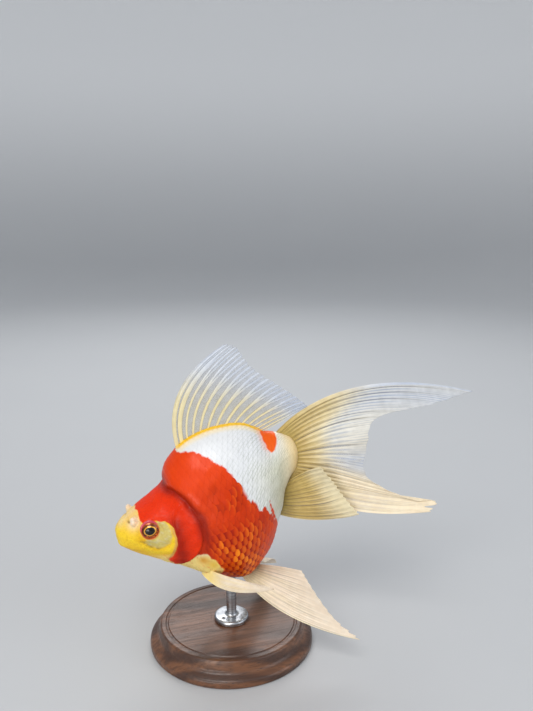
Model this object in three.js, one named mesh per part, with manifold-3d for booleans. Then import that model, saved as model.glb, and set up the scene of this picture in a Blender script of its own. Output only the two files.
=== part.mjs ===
// A fancy goldfish of the ryukin form, life size, swimming a little nose-down on a plain display stand.
// Millimetres, +Z up. The origin is the centre of the underside of the stand's base.
//
// The fish has a frame of its own: s runs back from the tip of the snout along the body, h runs up, and
// w runs out to the fish's left. In the fish's group these are +X, +Z and -Y. The group is pitched, so that
// the head, which points along -X, hangs lower than the tail.
import * as THREE from 'three';
import { mergeVertices } from 'three/addons/utils/BufferGeometryUtils.js';
import Module from 'manifold-3d';

const wasm = await Module();
wasm.setup();

// ---------------------------------------------------------------- driving dimensions
const PITCH = THREE.MathUtils.degToRad(10);   // nose-down pitch of the body's long axis
const GAP = 0.3;                              // clearance between neighbouring pieces
const TOLERANCE = 0.02;                       // cuts leave no slivers finer than this
const BODY_RINGS = 36;                        // rings along the body
const BODY_SIDES = 30;                        // points round each ring
const CORE_RINGS = 16;                        // the same for the buried faces of the gill covers
const CORE_SIDES = 16;
const COVER_DEPTH = 2.2;                      // thickness of a gill cover
const REACH = 60;                             // half the width of a cut that goes right through the fish

const EYE = { s: 12.65, h: 0.4, w: 6.95, radius: 4.6 };        // centre and radius of the left eyeball
const NOSTRIL = { s: 7.1, h: 4.35, w: 6.3, radius: 1.8, narrow: 0.75 }; // fleshy flap of the left nostril

const FIN_ROOT_HALF = 0.6;                    // half thickness of a fin at its root
const FIN_EDGE_HALF = 0.3;                    // half thickness of a fin at its margin

const BASE = { radius: 33, height: 9 };       // turned wooden base of the stand
const ROD = { radius: 2, flange: 7, flangeHeight: 2, x: 0, depth: 7 };   // depth: length inside the belly
const SNOUT = { x: -45.1, z: 54.4 };          // tip of the snout's frame origin, above the base's underside

// Cross sections from the snout to the root of the tail. top and bottom are the ends of a section's midline
// as [s, h], half is its half width, and widest says how far up the section the widest level lies. The
// powers of the upper and lower halves make a section rounder or more pointed than an ellipse (2).
const SECTIONS = [
  { top: [0, -1.5], bottom: [0, -1.5], half: 0, widest: 0.5, upper: 2.1, lower: 2.2 },
  { top: [0.4, 0.9], bottom: [0.2, -4], half: 3, widest: 0.5, upper: 2.1, lower: 2.2 },
  { top: [2, 2.8], bottom: [1.4, -6.4], half: 5.2, widest: 0.52, upper: 2.1, lower: 2.2 },
  { top: [5.5, 5], bottom: [4.9, -9.4], half: 7.8, widest: 0.54, upper: 2.1, lower: 2.2 },
  { top: [11.5, 7.9], bottom: [11.5, -14], half: 10.6, widest: 0.58, upper: 2.1, lower: 2.2 },
  { top: [16.5, 10.5], bottom: [18, -18.4], half: 12.8, widest: 0.53, upper: 2, lower: 2.2 },
  { top: [20.6, 13.3], bottom: [25, -23], half: 15, widest: 0.47, upper: 1.95, lower: 2.2 },
  { top: [24.6, 21], bottom: [31, -27.2], half: 17.6, widest: 0.43, upper: 1.85, lower: 2.1 },
  { top: [31, 26.7], bottom: [37, -30.6], half: 19.4, widest: 0.42, upper: 1.8, lower: 2.05 },
  { top: [39.5, 29.3], bottom: [43.5, -32.2], half: 20.2, widest: 0.43, upper: 1.75, lower: 2 },
  { top: [48, 29.6], bottom: [50.5, -30.6], half: 19, widest: 0.46, upper: 1.75, lower: 1.9 },
  { top: [56, 28], bottom: [57.3, -25.6], half: 15.8, widest: 0.49, upper: 1.75, lower: 1.8 },
  { top: [62.5, 23.4], bottom: [62, -17], half: 11.6, widest: 0.53, upper: 1.8, lower: 1.75 },
  { top: [67, 21.7], bottom: [66, -7], half: 8.2, widest: 0.56, upper: 1.9, lower: 1.9 },
  { top: [71, 20], bottom: [70, 0.5], half: 5.6, widest: 0.5, upper: 2, lower: 2 },
  { top: [74.5, 17], bottom: [74, 4], half: 3.4, widest: 0.5, upper: 2, lower: 2 },
  { top: [76.5, 10.5], bottom: [76.5, 10.5], half: 0, widest: 0.5, upper: 2, lower: 2 },
];

// Outlines of the parting cuts, as [s, h] in side view. Each runs on outside the fish where it leaves it.
const CREASE = [                              // from the nape, down behind the gill covers, to the throat
  [19.6, 40], [20.7, 13.2], [23, 12.8], [25.6, 10.8], [27.6, 7.2], [29.4, 2.4], [29.5, -3.2],
  [28, -10.5], [24.4, -14.6], [19.6, -16.6], [15.4, -17.4], [13.6, -40],
];
const HEAD_OUTLINE = [...CREASE, [-10, -40], [-10, 40]];
const COVER_FRONT = [                         // front edge of the gill cover, from the crease down
  [26.4, 9.4], [22.6, 7], [20.2, 3.4], [20.7, -2.2], [19.3, -8], [16.4, -12.4], [14.6, -15.4],
];
const COVER_OUTLINE = [...COVER_FRONT, [14.6, -30], [40, -30], [40, 9.4]];
const JAW_OUTLINE = [[-3, -3.9], [0.8, -3.9], [2.8, -4.6], [4.3, -6.8], [5.2, -20], [-3, -20]];
const PEDUNCLE_OUTLINE = [[63.4, 45], [64.2, 22], [69.9, -2], [72, -45], [110, -45], [110, 45]];

// Fins. Each ray is a quadratic curve from its root, by a control point, to its tip, as [s, h, w].
const DORSAL_RAYS = [
  [[29.2, 24, 0], [26.3, 51, 0], [55.4, 60.8, 0]],
  [[34, 26.5, 0], [33.6, 47, 0.4], [59.7, 58.4, 0.6]],
  [[42, 28.5, 0], [47, 43, 0.8], [63.9, 49.3, 1.4]],
  [[52, 28, 0], [59, 36, 0.6], [73.5, 39.5, 1.6]],
  [[59.5, 25.5, 0], [68, 29, 0], [82, 30, 0.8]],
  [[63, 22.6, 0], [71, 24.5, 0], [83.5, 26.2, 0]],
];
const TAIL_RAYS = [                           // one half of the double tail; the halves meet along the top
  [[69.5, 20.2, 0.7], [101.5, 40.9, 0.8], [156, 14.6, 1]],
  [[71.3, 18.1, 1.1], [98.3, 31.7, 2.6], [136.1, 15.6, 4.5]],
  [[73.2, 14.3, 1.3], [90.4, 21.1, 4], [109.3, 18.3, 8]],
  [[73.8, 10.5, 1.5], [89, 11.5, 6], [101.9, 10, 12]],
  [[73.2, 6.8, 1.6], [88, 4.5, 9], [97.9, -1, 17]],
  [[71.3, 4, 1.8], [90.4, -3, 13], [111.4, -12, 24]],
  [[70, 3, 1.9], [90, -6.5, 14], [120.8, -14.5, 27]],
  [[69, 2, 2], [83.7, -18.7, 13], [117.3, -17.3, 28]],
];
const TAIL_FORK = 3.6 / (TAIL_RAYS.length - 1);   // where the two lobes part, across the rays
const RIGHT_LOBE_SHORTER = 7;                 // how much nearer the body the right lower lobe's margin lies
const ANAL_RAYS = [
  [[62.5, -12.4, 1.5], [77, -19.4, 9], [91.5, -14.3, 18]],
  [[64.5, -9.5, 1.5], [75, -12, 9], [87.5, -7, 17]],
  [[65.8, -5.5, 1.5], [75, -3, 9], [84, 0.5, 15.5]],
  [[67.5, -1, 1.5], [72, 4.5, 7], [80, 8.1, 14]],
];
const PELVIC_RAYS = {                         // the left fin spreads wide, the right one is partly folded
  left: [
    [[43, -31.5, 6.5], [50.3, -47, 22], [78.5, -57, 34]],
    [[45, -30.8, 6.5], [54, -39, 18], [71, -47.5, 30]],
    [[47, -30, 6], [56, -32, 16], [65.8, -35.5, 26]],
    [[49, -28.5, 5.5], [54, -26.7, 13], [63.4, -27.7, 22]],
  ],
  right: [
    [[43, -31.5, 6.5], [50, -43, 20], [67.5, -55.7, 34]],
    [[45, -30.8, 6.5], [53, -39, 16], [65.6, -50, 27]],
    [[47, -30, 6], [53, -35.5, 12], [62.2, -44.7, 20]],
    [[49, -28.5, 5.5], [52, -33, 9], [57.5, -41, 13]],
  ],
};
const PECTORAL_RAYS = [
  [[28, -23.5, 11], [33, -31, 20], [49.5, -25.5, 31]],
  [[28.5, -21.5, 12], [34, -25.5, 20], [48.5, -24.8, 31]],
  [[29, -19.5, 13], [34, -21.7, 19], [45.5, -23.6, 29]],
];

// ---------------------------------------------------------------- curves
// A smooth row of numbers between the rows of a table: a uniform Catmull-Rom curve through them.
function rowAt(rows, place) {
  const last = rows.length - 1;
  const clamped = Math.min(Math.max(place, 0), last - 1e-9);
  const i = Math.floor(clamped);
  const t = clamped - i;
  const [a, b, c, d] = [i - 1, i, i + 1, i + 2].map((k) => rows[Math.min(Math.max(k, 0), last)]);
  return b.map((value, k) => 0.5 * (2 * value + (c[k] - a[k]) * t
    + (2 * a[k] - 5 * value + 4 * c[k] - d[k]) * t ** 2
    + (3 * value - a[k] - 3 * c[k] + d[k]) * t ** 3));
}

const SECTION_ROWS = SECTIONS.map((x) => [...x.top, ...x.bottom, x.half, x.widest, x.upper, x.lower]);

// A point of the body's surface. along is 0 at the snout and 1 at the tail's root; angle is 0 on the back,
// a quarter turn on the left side and half a turn on the belly.
function bodyPoint(along, angle) {
  const row = rowAt(SECTION_ROWS, along * (SECTIONS.length - 1));
  const [topS, topH, bottomS, bottomH, half, widest, upper, lower] = row;
  const power = 2 / (Math.cos(angle) >= 0 ? upper : lower);
  const rise = Math.sign(Math.cos(angle)) * Math.abs(Math.cos(angle)) ** power;
  const side = Math.sign(Math.sin(angle)) * Math.abs(Math.sin(angle)) ** power;
  const level = rise >= 0 ? widest + (1 - widest) * rise : widest * (1 + rise);
  return new THREE.Vector3(
    bottomS + (topS - bottomS) * level,
    -side * Math.max(half, 0),
    bottomH + (topH - bottomH) * level,
  );
}

// A point of a fin. across runs over its rays from 0 to 1, and out runs along them from root to tip.
function finPoint(rays, across, out) {
  const ray = rowAt(rays.map((points) => points.flat()), across * (rays.length - 1));
  const [root, bend, tip] = [0, 3, 6].map((k) => new THREE.Vector3(ray[k], -ray[k + 2], ray[k + 1]));
  return new THREE.QuadraticBezierCurve3(root, bend, tip).getPoint(out);
}

// ---------------------------------------------------------------- solids
function solidOf(geometry) {
  geometry.deleteAttribute('normal');
  geometry.deleteAttribute('uv');
  const merged = mergeVertices(geometry, 1e-4);
  return new wasm.Manifold(new wasm.Mesh({
    numProp: 3,
    vertProperties: new Float32Array(merged.attributes.position.array),
    triVerts: new Uint32Array(merged.index.array),
  }));
}

function geometryOf(solid) {
  const mesh = solid.setTolerance(TOLERANCE).getMesh();
  const geometry = new THREE.BufferGeometry();
  geometry.setAttribute('position', new THREE.BufferAttribute(mesh.vertProperties, 3));
  geometry.setIndex(new THREE.BufferAttribute(mesh.triVerts, 1));
  return geometry;
}

function geometryFrom(points, triangles) {
  const geometry = new THREE.BufferGeometry().setFromPoints(points);
  geometry.setIndex(triangles);
  return geometry;
}

// The whole body, its surface moved in by inset (out, where inset is negative).
function bodySolid(rings, sides, inset) {
  const step = 1e-3;
  const points = [bodyPoint(0, 0).add(new THREE.Vector3(inset, 0, 0))];
  for (let i = 1; i < rings; i += 1) {
    for (let j = 0; j < sides; j += 1) {
      const along = i / rings;
      const angle = 2 * Math.PI * (j + 0.5) / sides;
      const forward = bodyPoint(along + step, angle).sub(bodyPoint(along - step, angle));
      const round = bodyPoint(along, angle + step).sub(bodyPoint(along, angle - step));
      const inward = forward.cross(round).normalize();
      points.push(bodyPoint(along, angle).addScaledVector(inward, inset));
    }
  }
  points.push(bodyPoint(1, 0).add(new THREE.Vector3(-inset, 0, 0)));
  const triangles = [];
  const ring = (i, j) => 1 + (i - 1) * sides + (j % sides);
  for (let j = 0; j < sides; j += 1) {
    triangles.push(0, ring(1, j + 1), ring(1, j));
    triangles.push(points.length - 1, ring(rings - 1, j), ring(rings - 1, j + 1));
    for (let i = 1; i < rings - 1; i += 1) {
      triangles.push(ring(i, j), ring(i, j + 1), ring(i + 1, j));
      triangles.push(ring(i, j + 1), ring(i + 1, j + 1), ring(i + 1, j));
    }
  }
  return solidOf(geometryFrom(points, triangles));
}

// An outline in side view, grown by a margin: each edge moves out and the corners are mitred.
function grown(outline, margin) {
  const points = outline.map(([s, h]) => new THREE.Vector2(s, h));
  const turn = THREE.ShapeUtils.isClockWise(points) ? 1 : -1;
  return points.map((point, i) => {
    const before = point.clone().sub(points.at(i - 1)).normalize();
    const after = points[(i + 1) % points.length].clone().sub(point).normalize();
    const normalBefore = new THREE.Vector2(-before.y, before.x);
    const normalAfter = new THREE.Vector2(-after.y, after.x);
    const mitre = normalBefore.clone().add(normalAfter);
    mitre.multiplyScalar(turn * margin / (1 + normalBefore.dot(normalAfter)));
    return [point.x + mitre.x, point.y + mitre.y];
  });
}

// A block with this outline in side view, reaching from one w to another.
function block(outline, fromW, toW) {
  const shape = new THREE.Shape(outline.map(([s, h]) => new THREE.Vector2(s, h)));
  const geometry = new THREE.ExtrudeGeometry(shape, { depth: toW - fromW, bevelEnabled: false });
  geometry.translate(0, 0, fromW);
  geometry.rotateX(Math.PI / 2);
  return solidOf(geometry);
}

// A ball at a place on one side of the head, narrower along the body where narrow is under 1.
function ball({ s, h, w, radius, narrow = 1 }, side, margin, segments) {
  const geometry = new THREE.SphereGeometry(radius + margin, segments, segments / 2);
  geometry.rotateX(-side * Math.PI / 2);
  geometry.scale(narrow, 1, 1);
  geometry.translate(s, -side * w, h);
  return solidOf(geometry);
}

// A fin as a thin closed sheet on its middle surface, thinner towards the margin.
function finSolid(rays, side, acrossSteps, outSteps) {
  const step = 1e-3;
  const faces = [[], []];
  for (let i = 0; i <= acrossSteps; i += 1) {
    for (let j = 0; j <= outSteps; j += 1) {
      const across = i / acrossSteps;
      const out = j / outSteps;
      const low = finPoint(rays, Math.max(across - step, 0), out);
      const span = finPoint(rays, Math.min(across + step, 1), out).sub(low);
      const reach = finPoint(rays, across, out + step).sub(finPoint(rays, across, out - step));
      const normal = span.cross(reach).normalize();
      const rim = Math.max(out, Math.abs(2 * across - 1));
      const half = THREE.MathUtils.lerp(FIN_ROOT_HALF, FIN_EDGE_HALF, rim);
      const middle = finPoint(rays, across, out);
      faces.forEach((face, k) => {
        const point = middle.clone().addScaledVector(normal, k ? half : -half);
        point.y *= side;
        face.push(point);
      });
    }
  }
  const points = [...faces[0], ...faces[1]];
  const at = (k, i, j) => k * faces[0].length + i * (outSteps + 1) + j;
  const triangles = [];
  const quad = (a, b, c, d) => {
    const order = side > 0 ? [a, b, c, a, c, d] : [a, c, b, a, d, c];
    triangles.push(...order);
  };
  for (let i = 0; i < acrossSteps; i += 1) {
    for (let j = 0; j < outSteps; j += 1) {
      quad(at(0, i, j), at(0, i, j + 1), at(0, i + 1, j + 1), at(0, i + 1, j));
      quad(at(1, i, j), at(1, i + 1, j), at(1, i + 1, j + 1), at(1, i, j + 1));
    }
    quad(at(0, i, 0), at(0, i + 1, 0), at(1, i + 1, 0), at(1, i, 0));
    quad(at(0, i + 1, outSteps), at(0, i, outSteps), at(1, i, outSteps), at(1, i + 1, outSteps));
  }
  for (let j = 0; j < outSteps; j += 1) {
    quad(at(0, 0, j + 1), at(0, 0, j), at(1, 0, j), at(1, 0, j + 1));
    quad(at(0, acrossSteps, j), at(0, acrossSteps, j + 1), at(1, acrossSteps, j + 1), at(1, acrossSteps, j));
  }
  return solidOf(geometryFrom(points, triangles));
}

// The largest separate pieces of a solid.
function largest(solid, count) {
  return solid.decompose().sort((a, b) => b.volume() - a.volume()).slice(0, count);
}

// ---------------------------------------------------------------- materials
function finish(color, roughness, metalness = 0) {
  return () => new THREE.MeshStandardMaterial({ color, roughness, metalness });
}
const redFlesh = finish(0xd8431c, 0.4);
const goldFlesh = finish(0xe6c455, 0.4);
const whiteFlesh = finish(0xe9e6dc, 0.4);
const fin = finish(0xd9cfae, 0.45);
const eyeGloss = finish(0x2a1a10, 0.1);
const wood = finish(0x5a3a26, 0.5);
const steel = finish(0xb8babd, 0.35, 1);

function part(name, geometry, material) {
  const mesh = new THREE.Mesh(geometry, material());
  mesh.name = name;
  return mesh;
}

// ---------------------------------------------------------------- the fish
const SIDES = [['left', 1], ['right', -1]];
const fish = new THREE.Group();
fish.rotation.y = -PITCH;
fish.position.set(SNOUT.x, 0, SNOUT.z);

const body = bodySolid(BODY_RINGS, BODY_SIDES, 0);
const clearance = bodySolid(BODY_RINGS, BODY_SIDES, -GAP);

function addHeadParts() {
  const through = (outline, margin) => block(grown(outline, margin), -REACH, REACH);
  let head = body.intersect(through(HEAD_OUTLINE, 0));
  const [jaw] = largest(head.intersect(through(JAW_OUTLINE, 0)), 1);
  head = head.subtract(through(JAW_OUTLINE, GAP));
  const coverCore = bodySolid(CORE_RINGS, CORE_SIDES, COVER_DEPTH);
  const recessCore = bodySolid(CORE_RINGS, CORE_SIDES, COVER_DEPTH + GAP);
  const covers = [];
  SIDES.forEach(([name, side]) => {
    const span = (margin) => (side > 0 ? [3 - margin, REACH] : [-REACH, margin - 3]);
    const zone = block(COVER_OUTLINE, ...span(0)).subtract(coverCore);
    covers.push([name, largest(head.intersect(zone), 1)[0]]);
    head = head.subtract(block(grown(COVER_OUTLINE, GAP), ...span(GAP)).subtract(recessCore));
    head = head.add(ball(NOSTRIL, side, 0, 12));
  });
  SIDES.forEach(([name, side]) => {
    head = head.subtract(ball(EYE, side, GAP, 16));
    fish.add(part(`eye_${name}`, geometryOf(ball(EYE, side, 0, 18)), eyeGloss));
  });
  fish.add(part('head', geometryOf(largest(head, 1)[0]), redFlesh));
  fish.add(part('lower_jaw', geometryOf(jaw), goldFlesh));
  covers.forEach(([name, cover]) => fish.add(part(`gill_cover_${name}`, geometryOf(cover), redFlesh)));
}

function addTrunkParts() {
  const rear = body.subtract(block(grown(HEAD_OUTLINE, GAP), -REACH, REACH));
  const peduncleBlock = block(PEDUNCLE_OUTLINE, -REACH, REACH);
  const [peduncle] = largest(rear.intersect(peduncleBlock), 1);
  const bore = new THREE.CylinderGeometry(ROD.radius + GAP, ROD.radius + GAP, 2 * REACH, 20);
  bore.rotateX(Math.PI / 2);
  bore.translate(ROD.x, 0, rodTop() + GAP - REACH);
  bore.translate(-SNOUT.x, 0, -SNOUT.z);
  bore.rotateY(PITCH);
  const front = rear.subtract(block(grown(PEDUNCLE_OUTLINE, GAP), -REACH, REACH));
  const [trunk] = largest(front.subtract(solidOf(bore)), 1);
  fish.add(part('trunk', geometryOf(trunk), redFlesh));
  fish.add(part('tail_peduncle', geometryOf(peduncle), whiteFlesh));
}

function addFins() {
  const clear = (solid, count) => largest(solid.subtract(clearance), count);
  const add = (name, rays, side, acrossSteps, outSteps) => {
    const [sheet] = clear(finSolid(rays, side, acrossSteps, outSteps), 1);
    fish.add(part(name, geometryOf(sheet), fin));
  };
  add('fin_dorsal', DORSAL_RAYS, 1, 13, 7);
  SIDES.forEach(([name, side]) => {
    add(`fin_anal_${name}`, ANAL_RAYS, side, 6, 6);
    add(`fin_pelvic_${name}`, PELVIC_RAYS[name], side, 7, 8);
    add(`fin_pectoral_${name}`, PECTORAL_RAYS, side, 5, 7);
    addTailLobes(name, side, clear);
  });
}

// One half of the double tail, parted into its upper and lower lobes by a thin slit along the fork's ray.
function addTailLobes(name, side, clear) {
  const rays = TAIL_RAYS.map(([root, bend, tip], i) => {
    const shorter = side < 0 && i / (TAIL_RAYS.length - 1) > TAIL_FORK ? RIGHT_LOBE_SHORTER : 0;
    return [root, bend, [tip[0] - shorter, tip[1], tip[2]]];
  });
  const along = [-0.1, 0.2, 0.4, 0.6, 0.8, 1, 1.1].map((out) => finPoint(rays, TAIL_FORK, out));
  const slit = [
    ...along.map((point) => [point.x, point.z + GAP / 2]),
    ...along.reverse().map((point) => [point.x, point.z - GAP / 2]),
  ];
  const half = finSolid(rays, side, 13, 8).subtract(block(slit, -REACH, REACH));
  const lobes = clear(half, 2).sort((a, b) => b.boundingBox().max[2] - a.boundingBox().max[2]);
  fish.add(part(`fin_tail_upper_${name}`, geometryOf(lobes[0]), fin));
  fish.add(part(`fin_tail_lower_${name}`, geometryOf(lobes[1]), fin));
}

// ---------------------------------------------------------------- the stand
// Level of the rod's top: its depth above the point where its axis meets the belly.
function rodTop() {
  const along = [...Array(101).keys()].map((k) => bodyPoint(k / 100, Math.PI));
  const inPart = along.map((point) => [
    SNOUT.x + point.x * Math.cos(PITCH) - point.z * Math.sin(PITCH),
    SNOUT.z + point.x * Math.sin(PITCH) + point.z * Math.cos(PITCH),
  ]);
  inPart.sort((a, b) => Math.abs(a[0] - ROD.x) - Math.abs(b[0] - ROD.x));
  return inPart[0][1] + ROD.depth;
}

function turned(name, profile, material, segments) {
  const geometry = new THREE.LatheGeometry(profile.map(([r, z]) => new THREE.Vector2(r, z)), segments);
  geometry.rotateX(Math.PI / 2);
  return part(name, geometryOf(solidOf(geometry)), material);
}

function makeStand() {
  const stand = new THREE.Group();
  const r = BASE.radius;
  const z = BASE.height;
  const baseProfile = [
    [0, 0], [r - 0.8, 0], [r, 0.8], [r, 3.4], [r - 1.6, 4.6], [r - 3.4, 5.8], [r - 4, z - 1],
    [r - 5, z], [0, z],
  ];
  stand.add(turned('stand_base', baseProfile, wood, 40));
  const top = rodTop();
  const rodProfile = [
    [0, z], [ROD.flange, z], [ROD.flange, z + ROD.flangeHeight * 0.6], [ROD.flange - 1, z + ROD.flangeHeight],
    [ROD.radius + 0.8, z + ROD.flangeHeight], [ROD.radius, z + ROD.flangeHeight + 0.8],
    [ROD.radius, top - 0.6], [ROD.radius - 0.6, top], [0, top],
  ];
  const rod = turned('stand_rod', rodProfile, steel, 20);
  rod.position.x = ROD.x;
  stand.add(rod);
  return stand;
}

addHeadParts();
addTrunkParts();
addFins();

const model = new THREE.Group();
model.add(fish, makeStand());
export default model;
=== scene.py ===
"""Looks of a life-size ryukin goldfish on its display stand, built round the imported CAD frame.

The fish is shaped in a frame of its own, in millimetres: s runs back from the snout along the body, h runs
up and w runs out to the fish's left. placed() turns those points into the row frame, in metres. Surfaces are
grids of points, and every grid's rows and columns follow the way scales and rays lie.
"""
import math

import bpy
import numpy as np
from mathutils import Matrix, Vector


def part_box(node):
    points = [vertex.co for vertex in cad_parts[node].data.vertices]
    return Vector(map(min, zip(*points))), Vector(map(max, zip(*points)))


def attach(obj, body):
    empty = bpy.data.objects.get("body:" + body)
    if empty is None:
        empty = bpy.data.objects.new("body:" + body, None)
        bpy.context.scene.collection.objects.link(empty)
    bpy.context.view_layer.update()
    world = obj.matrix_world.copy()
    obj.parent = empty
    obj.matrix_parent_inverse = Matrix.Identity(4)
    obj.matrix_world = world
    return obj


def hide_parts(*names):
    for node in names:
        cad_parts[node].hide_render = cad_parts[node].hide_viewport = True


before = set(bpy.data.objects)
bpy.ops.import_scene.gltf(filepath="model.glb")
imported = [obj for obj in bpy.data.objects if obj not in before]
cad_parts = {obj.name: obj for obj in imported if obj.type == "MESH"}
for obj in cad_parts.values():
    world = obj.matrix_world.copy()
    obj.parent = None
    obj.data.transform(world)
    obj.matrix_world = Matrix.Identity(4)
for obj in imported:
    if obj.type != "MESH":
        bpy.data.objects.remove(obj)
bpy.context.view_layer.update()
scene = bpy.context.scene
random = np.random.default_rng(7)

# ---------------------------------------------------------------- the fish's frame
MM = 0.001
PITCH = math.radians(10)  # nose-down pitch of the body's long axis
ALONG = np.array([math.cos(PITCH), 0, math.sin(PITCH)])
UPWARD = np.array([-math.sin(PITCH), 0, math.cos(PITCH)])
LEFTWARD = np.array([0, -1, 0])
SIDES = (("left", 1), ("right", -1))

EYE = np.array([12.65, 0.4, 6.95])  # centre of the left eyeball
EYE_RADIUS = 4.6
EYE_OPENING = 3.15  # radius of the opening in the skin
EYE_RIM = math.sqrt(EYE_RADIUS**2 - EYE_OPENING**2)  # how far ahead of the centre that opening lies


def box_centre(node):
    low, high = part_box(node)
    return np.array((low + high) / 2) / MM


# The snout's origin, found from where the CAD's eyes are.
SNOUT = (box_centre("eye_left") + box_centre("eye_right")) / 2 - EYE[0] * ALONG - EYE[1] * UPWARD


def placed(points):
    """Points of the fish's frame, in millimetres, as points of the row frame, in metres."""
    return (SNOUT + points[..., :1] * ALONG + points[..., 1:2] * UPWARD + points[..., 2:] * LEFTWARD) * MM


def mirrored(points):
    """The points as they lie on the left side."""
    return np.concatenate([points[..., :2], np.abs(points[..., 2:])], -1)


# ---------------------------------------------------------------- small tools
def smooth(value, low, high):
    """0 below low, 1 above high and a smooth step between."""
    t = np.clip((value - low) / (high - low), 0, 1)
    return t * t * (3 - 2 * t)


def fall(value, low, high):
    """1 below low, 0 above high and a smooth step between."""
    return 1 - smooth(value, low, high)


def hill(value, width):
    return np.exp(-(value / width) ** 2)


def near(points, place, width):
    """1 at a place and about a third at a distance of width from it."""
    return hill(np.linalg.norm(points - np.asarray(place), axis=-1), width)


def unit(vectors):
    return vectors / np.maximum(np.linalg.norm(vectors, axis=-1, keepdims=True), 1e-9)


def turns(count):
    """Angles round a full turn."""
    return 2 * math.pi * np.arange(count) / count


def rows_at(rows, place):
    """Smooth rows between the rows of a table: a uniform Catmull-Rom curve, as the CAD's is."""
    last = len(rows) - 1
    place = np.clip(np.asarray(place, float), 0, last - 1e-9)
    i = np.floor(place).astype(int)
    t = (place - i)[..., None]
    a, b, c, d = (rows[np.clip(i + k, 0, last)] for k in (-1, 0, 1, 2))
    return 0.5 * (2 * b + (c - a) * t + (2 * a - 5 * b + 4 * c - d) * t**2 + (3 * b - a - 3 * c + d) * t**3)


def smooth_line(points, steps=6):
    """The points of a smooth line through a few given ones."""
    points = np.array(points, float)
    return rows_at(points, np.linspace(0, len(points) - 1, steps * (len(points) - 1) + 1))


def from_line(line, points):
    """Signed distance of points from a line in side view, over 0 behind it where it runs down."""
    flat = points[..., :2].reshape(-1, 2)
    best = np.full(len(flat), 1e9)
    signed = np.zeros(len(flat))
    for start, end in zip(line[:-1], line[1:]):
        run = end - start
        gap = flat - start
        share = np.clip(gap @ run / (run @ run), 0, 1)
        away = np.hypot(*(gap - share[:, None] * run).T)
        closer = away < best - 1e-9
        best = np.where(closer, away, best)
        side = np.sign(run[0] * gap[:, 1] - run[1] * gap[:, 0])
        signed = np.where(closer, side * away, signed)
    return signed.reshape(points.shape[:-1])


def inside(outline, points):
    """Signed distance from a closed outline in side view, over 0 inside it."""
    closed = np.array([*outline, outline[0]], float)
    away = np.abs(from_line(closed, points))
    s, h = points[..., 0], points[..., 1]
    within = np.zeros(s.shape, bool)
    for (s0, h0), (s1, h1) in zip(closed[:-1], closed[1:]):
        if h0 != h1:
            within ^= ((h0 > h) != (h1 > h)) & (s < (s1 - s0) * (h - h0) / (h1 - h0) + s0)
    return np.where(within, away, -away)


def ripple(points, size, seed):
    """Smooth irregular waves between about -1 and 1, size millimetres from crest to crest."""
    draw = np.random.default_rng(seed)
    total = 0
    for _ in range(5):
        direction = unit(draw.normal(size=3)) * 2 * math.pi / size * draw.uniform(0.7, 1.4)
        total = total + np.sin(points @ direction + draw.uniform(0, 2 * math.pi))
    return total / 3


# ---------------------------------------------------------------- the body's surface
# Cross sections from the snout to the tail's root, as in the CAD: the midline's top s and h, its bottom s and
# h, the half width, how far up the widest level lies, and the powers of the upper and lower halves.
SECTIONS = np.array([
    [0, -1.5, 0, -1.5, 0, 0.5, 2.1, 2.2],
    [0.4, 0.9, 0.2, -4, 3, 0.5, 2.1, 2.2],
    [2, 2.8, 1.4, -6.4, 5.2, 0.52, 2.1, 2.2],
    [5.5, 5, 4.9, -9.4, 7.8, 0.54, 2.1, 2.2],
    [11.5, 7.9, 11.5, -14, 10.6, 0.58, 2.1, 2.2],
    [16.5, 10.5, 18, -18.4, 12.8, 0.53, 2, 2.2],
    [20.6, 13.3, 25, -23, 15, 0.47, 1.95, 2.2],
    [24.6, 21, 31, -27.2, 17.6, 0.43, 1.85, 2.1],
    [31, 26.7, 37, -30.6, 19.4, 0.42, 1.8, 2.05],
    [39.5, 29.3, 43.5, -32.2, 20.2, 0.43, 1.75, 2],
    [48, 29.6, 50.5, -30.6, 19, 0.46, 1.75, 1.9],
    [56, 28, 57.3, -25.6, 15.8, 0.49, 1.75, 1.8],
    [62.5, 23.4, 62, -17, 11.6, 0.53, 1.8, 1.75],
    [67, 21.7, 66, -7, 8.2, 0.56, 1.9, 1.9],
    [71, 20, 70, 0.5, 5.6, 0.5, 2, 2],
    [74.5, 17, 74, 4, 3.4, 0.5, 2, 2],
    [76.5, 10.5, 76.5, 10.5, 0, 0.5, 2, 2],
])


def body_point(along, angle):
    """A point of the plain body. along is 0 at the snout and 1 at the tail's root. angle is 0 on the back and
    a quarter turn on the left side."""
    row = rows_at(SECTIONS, np.asarray(along) * (len(SECTIONS) - 1))
    top_s, top_h, bottom_s, bottom_h, half, widest, upper, lower = np.moveaxis(row, -1, 0)
    cosine, sine = np.cos(angle), np.sin(angle)
    power = 2 / np.where(cosine >= 0, upper, lower)
    rise = np.sign(cosine) * np.abs(cosine) ** power
    side = np.sign(sine) * np.abs(sine) ** power
    level = np.where(rise >= 0, widest + (1 - widest) * rise, widest * (1 + rise))
    s, h = bottom_s + (top_s - bottom_s) * level, bottom_h + (top_h - bottom_h) * level
    return np.stack([s, h, side * np.maximum(half, 0)], -1)


def body_frame(along, angle, step=1e-3):
    """The plain body's point, its outward normal, and how it moves for each unit of along."""
    onward = (body_point(along + step, angle) - body_point(along - step, angle)) / (2 * step)
    around = (body_point(along, angle + step) - body_point(along, angle - step)) / (2 * step)
    return body_point(along, angle), unit(np.cross(around, onward)), onward


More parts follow.
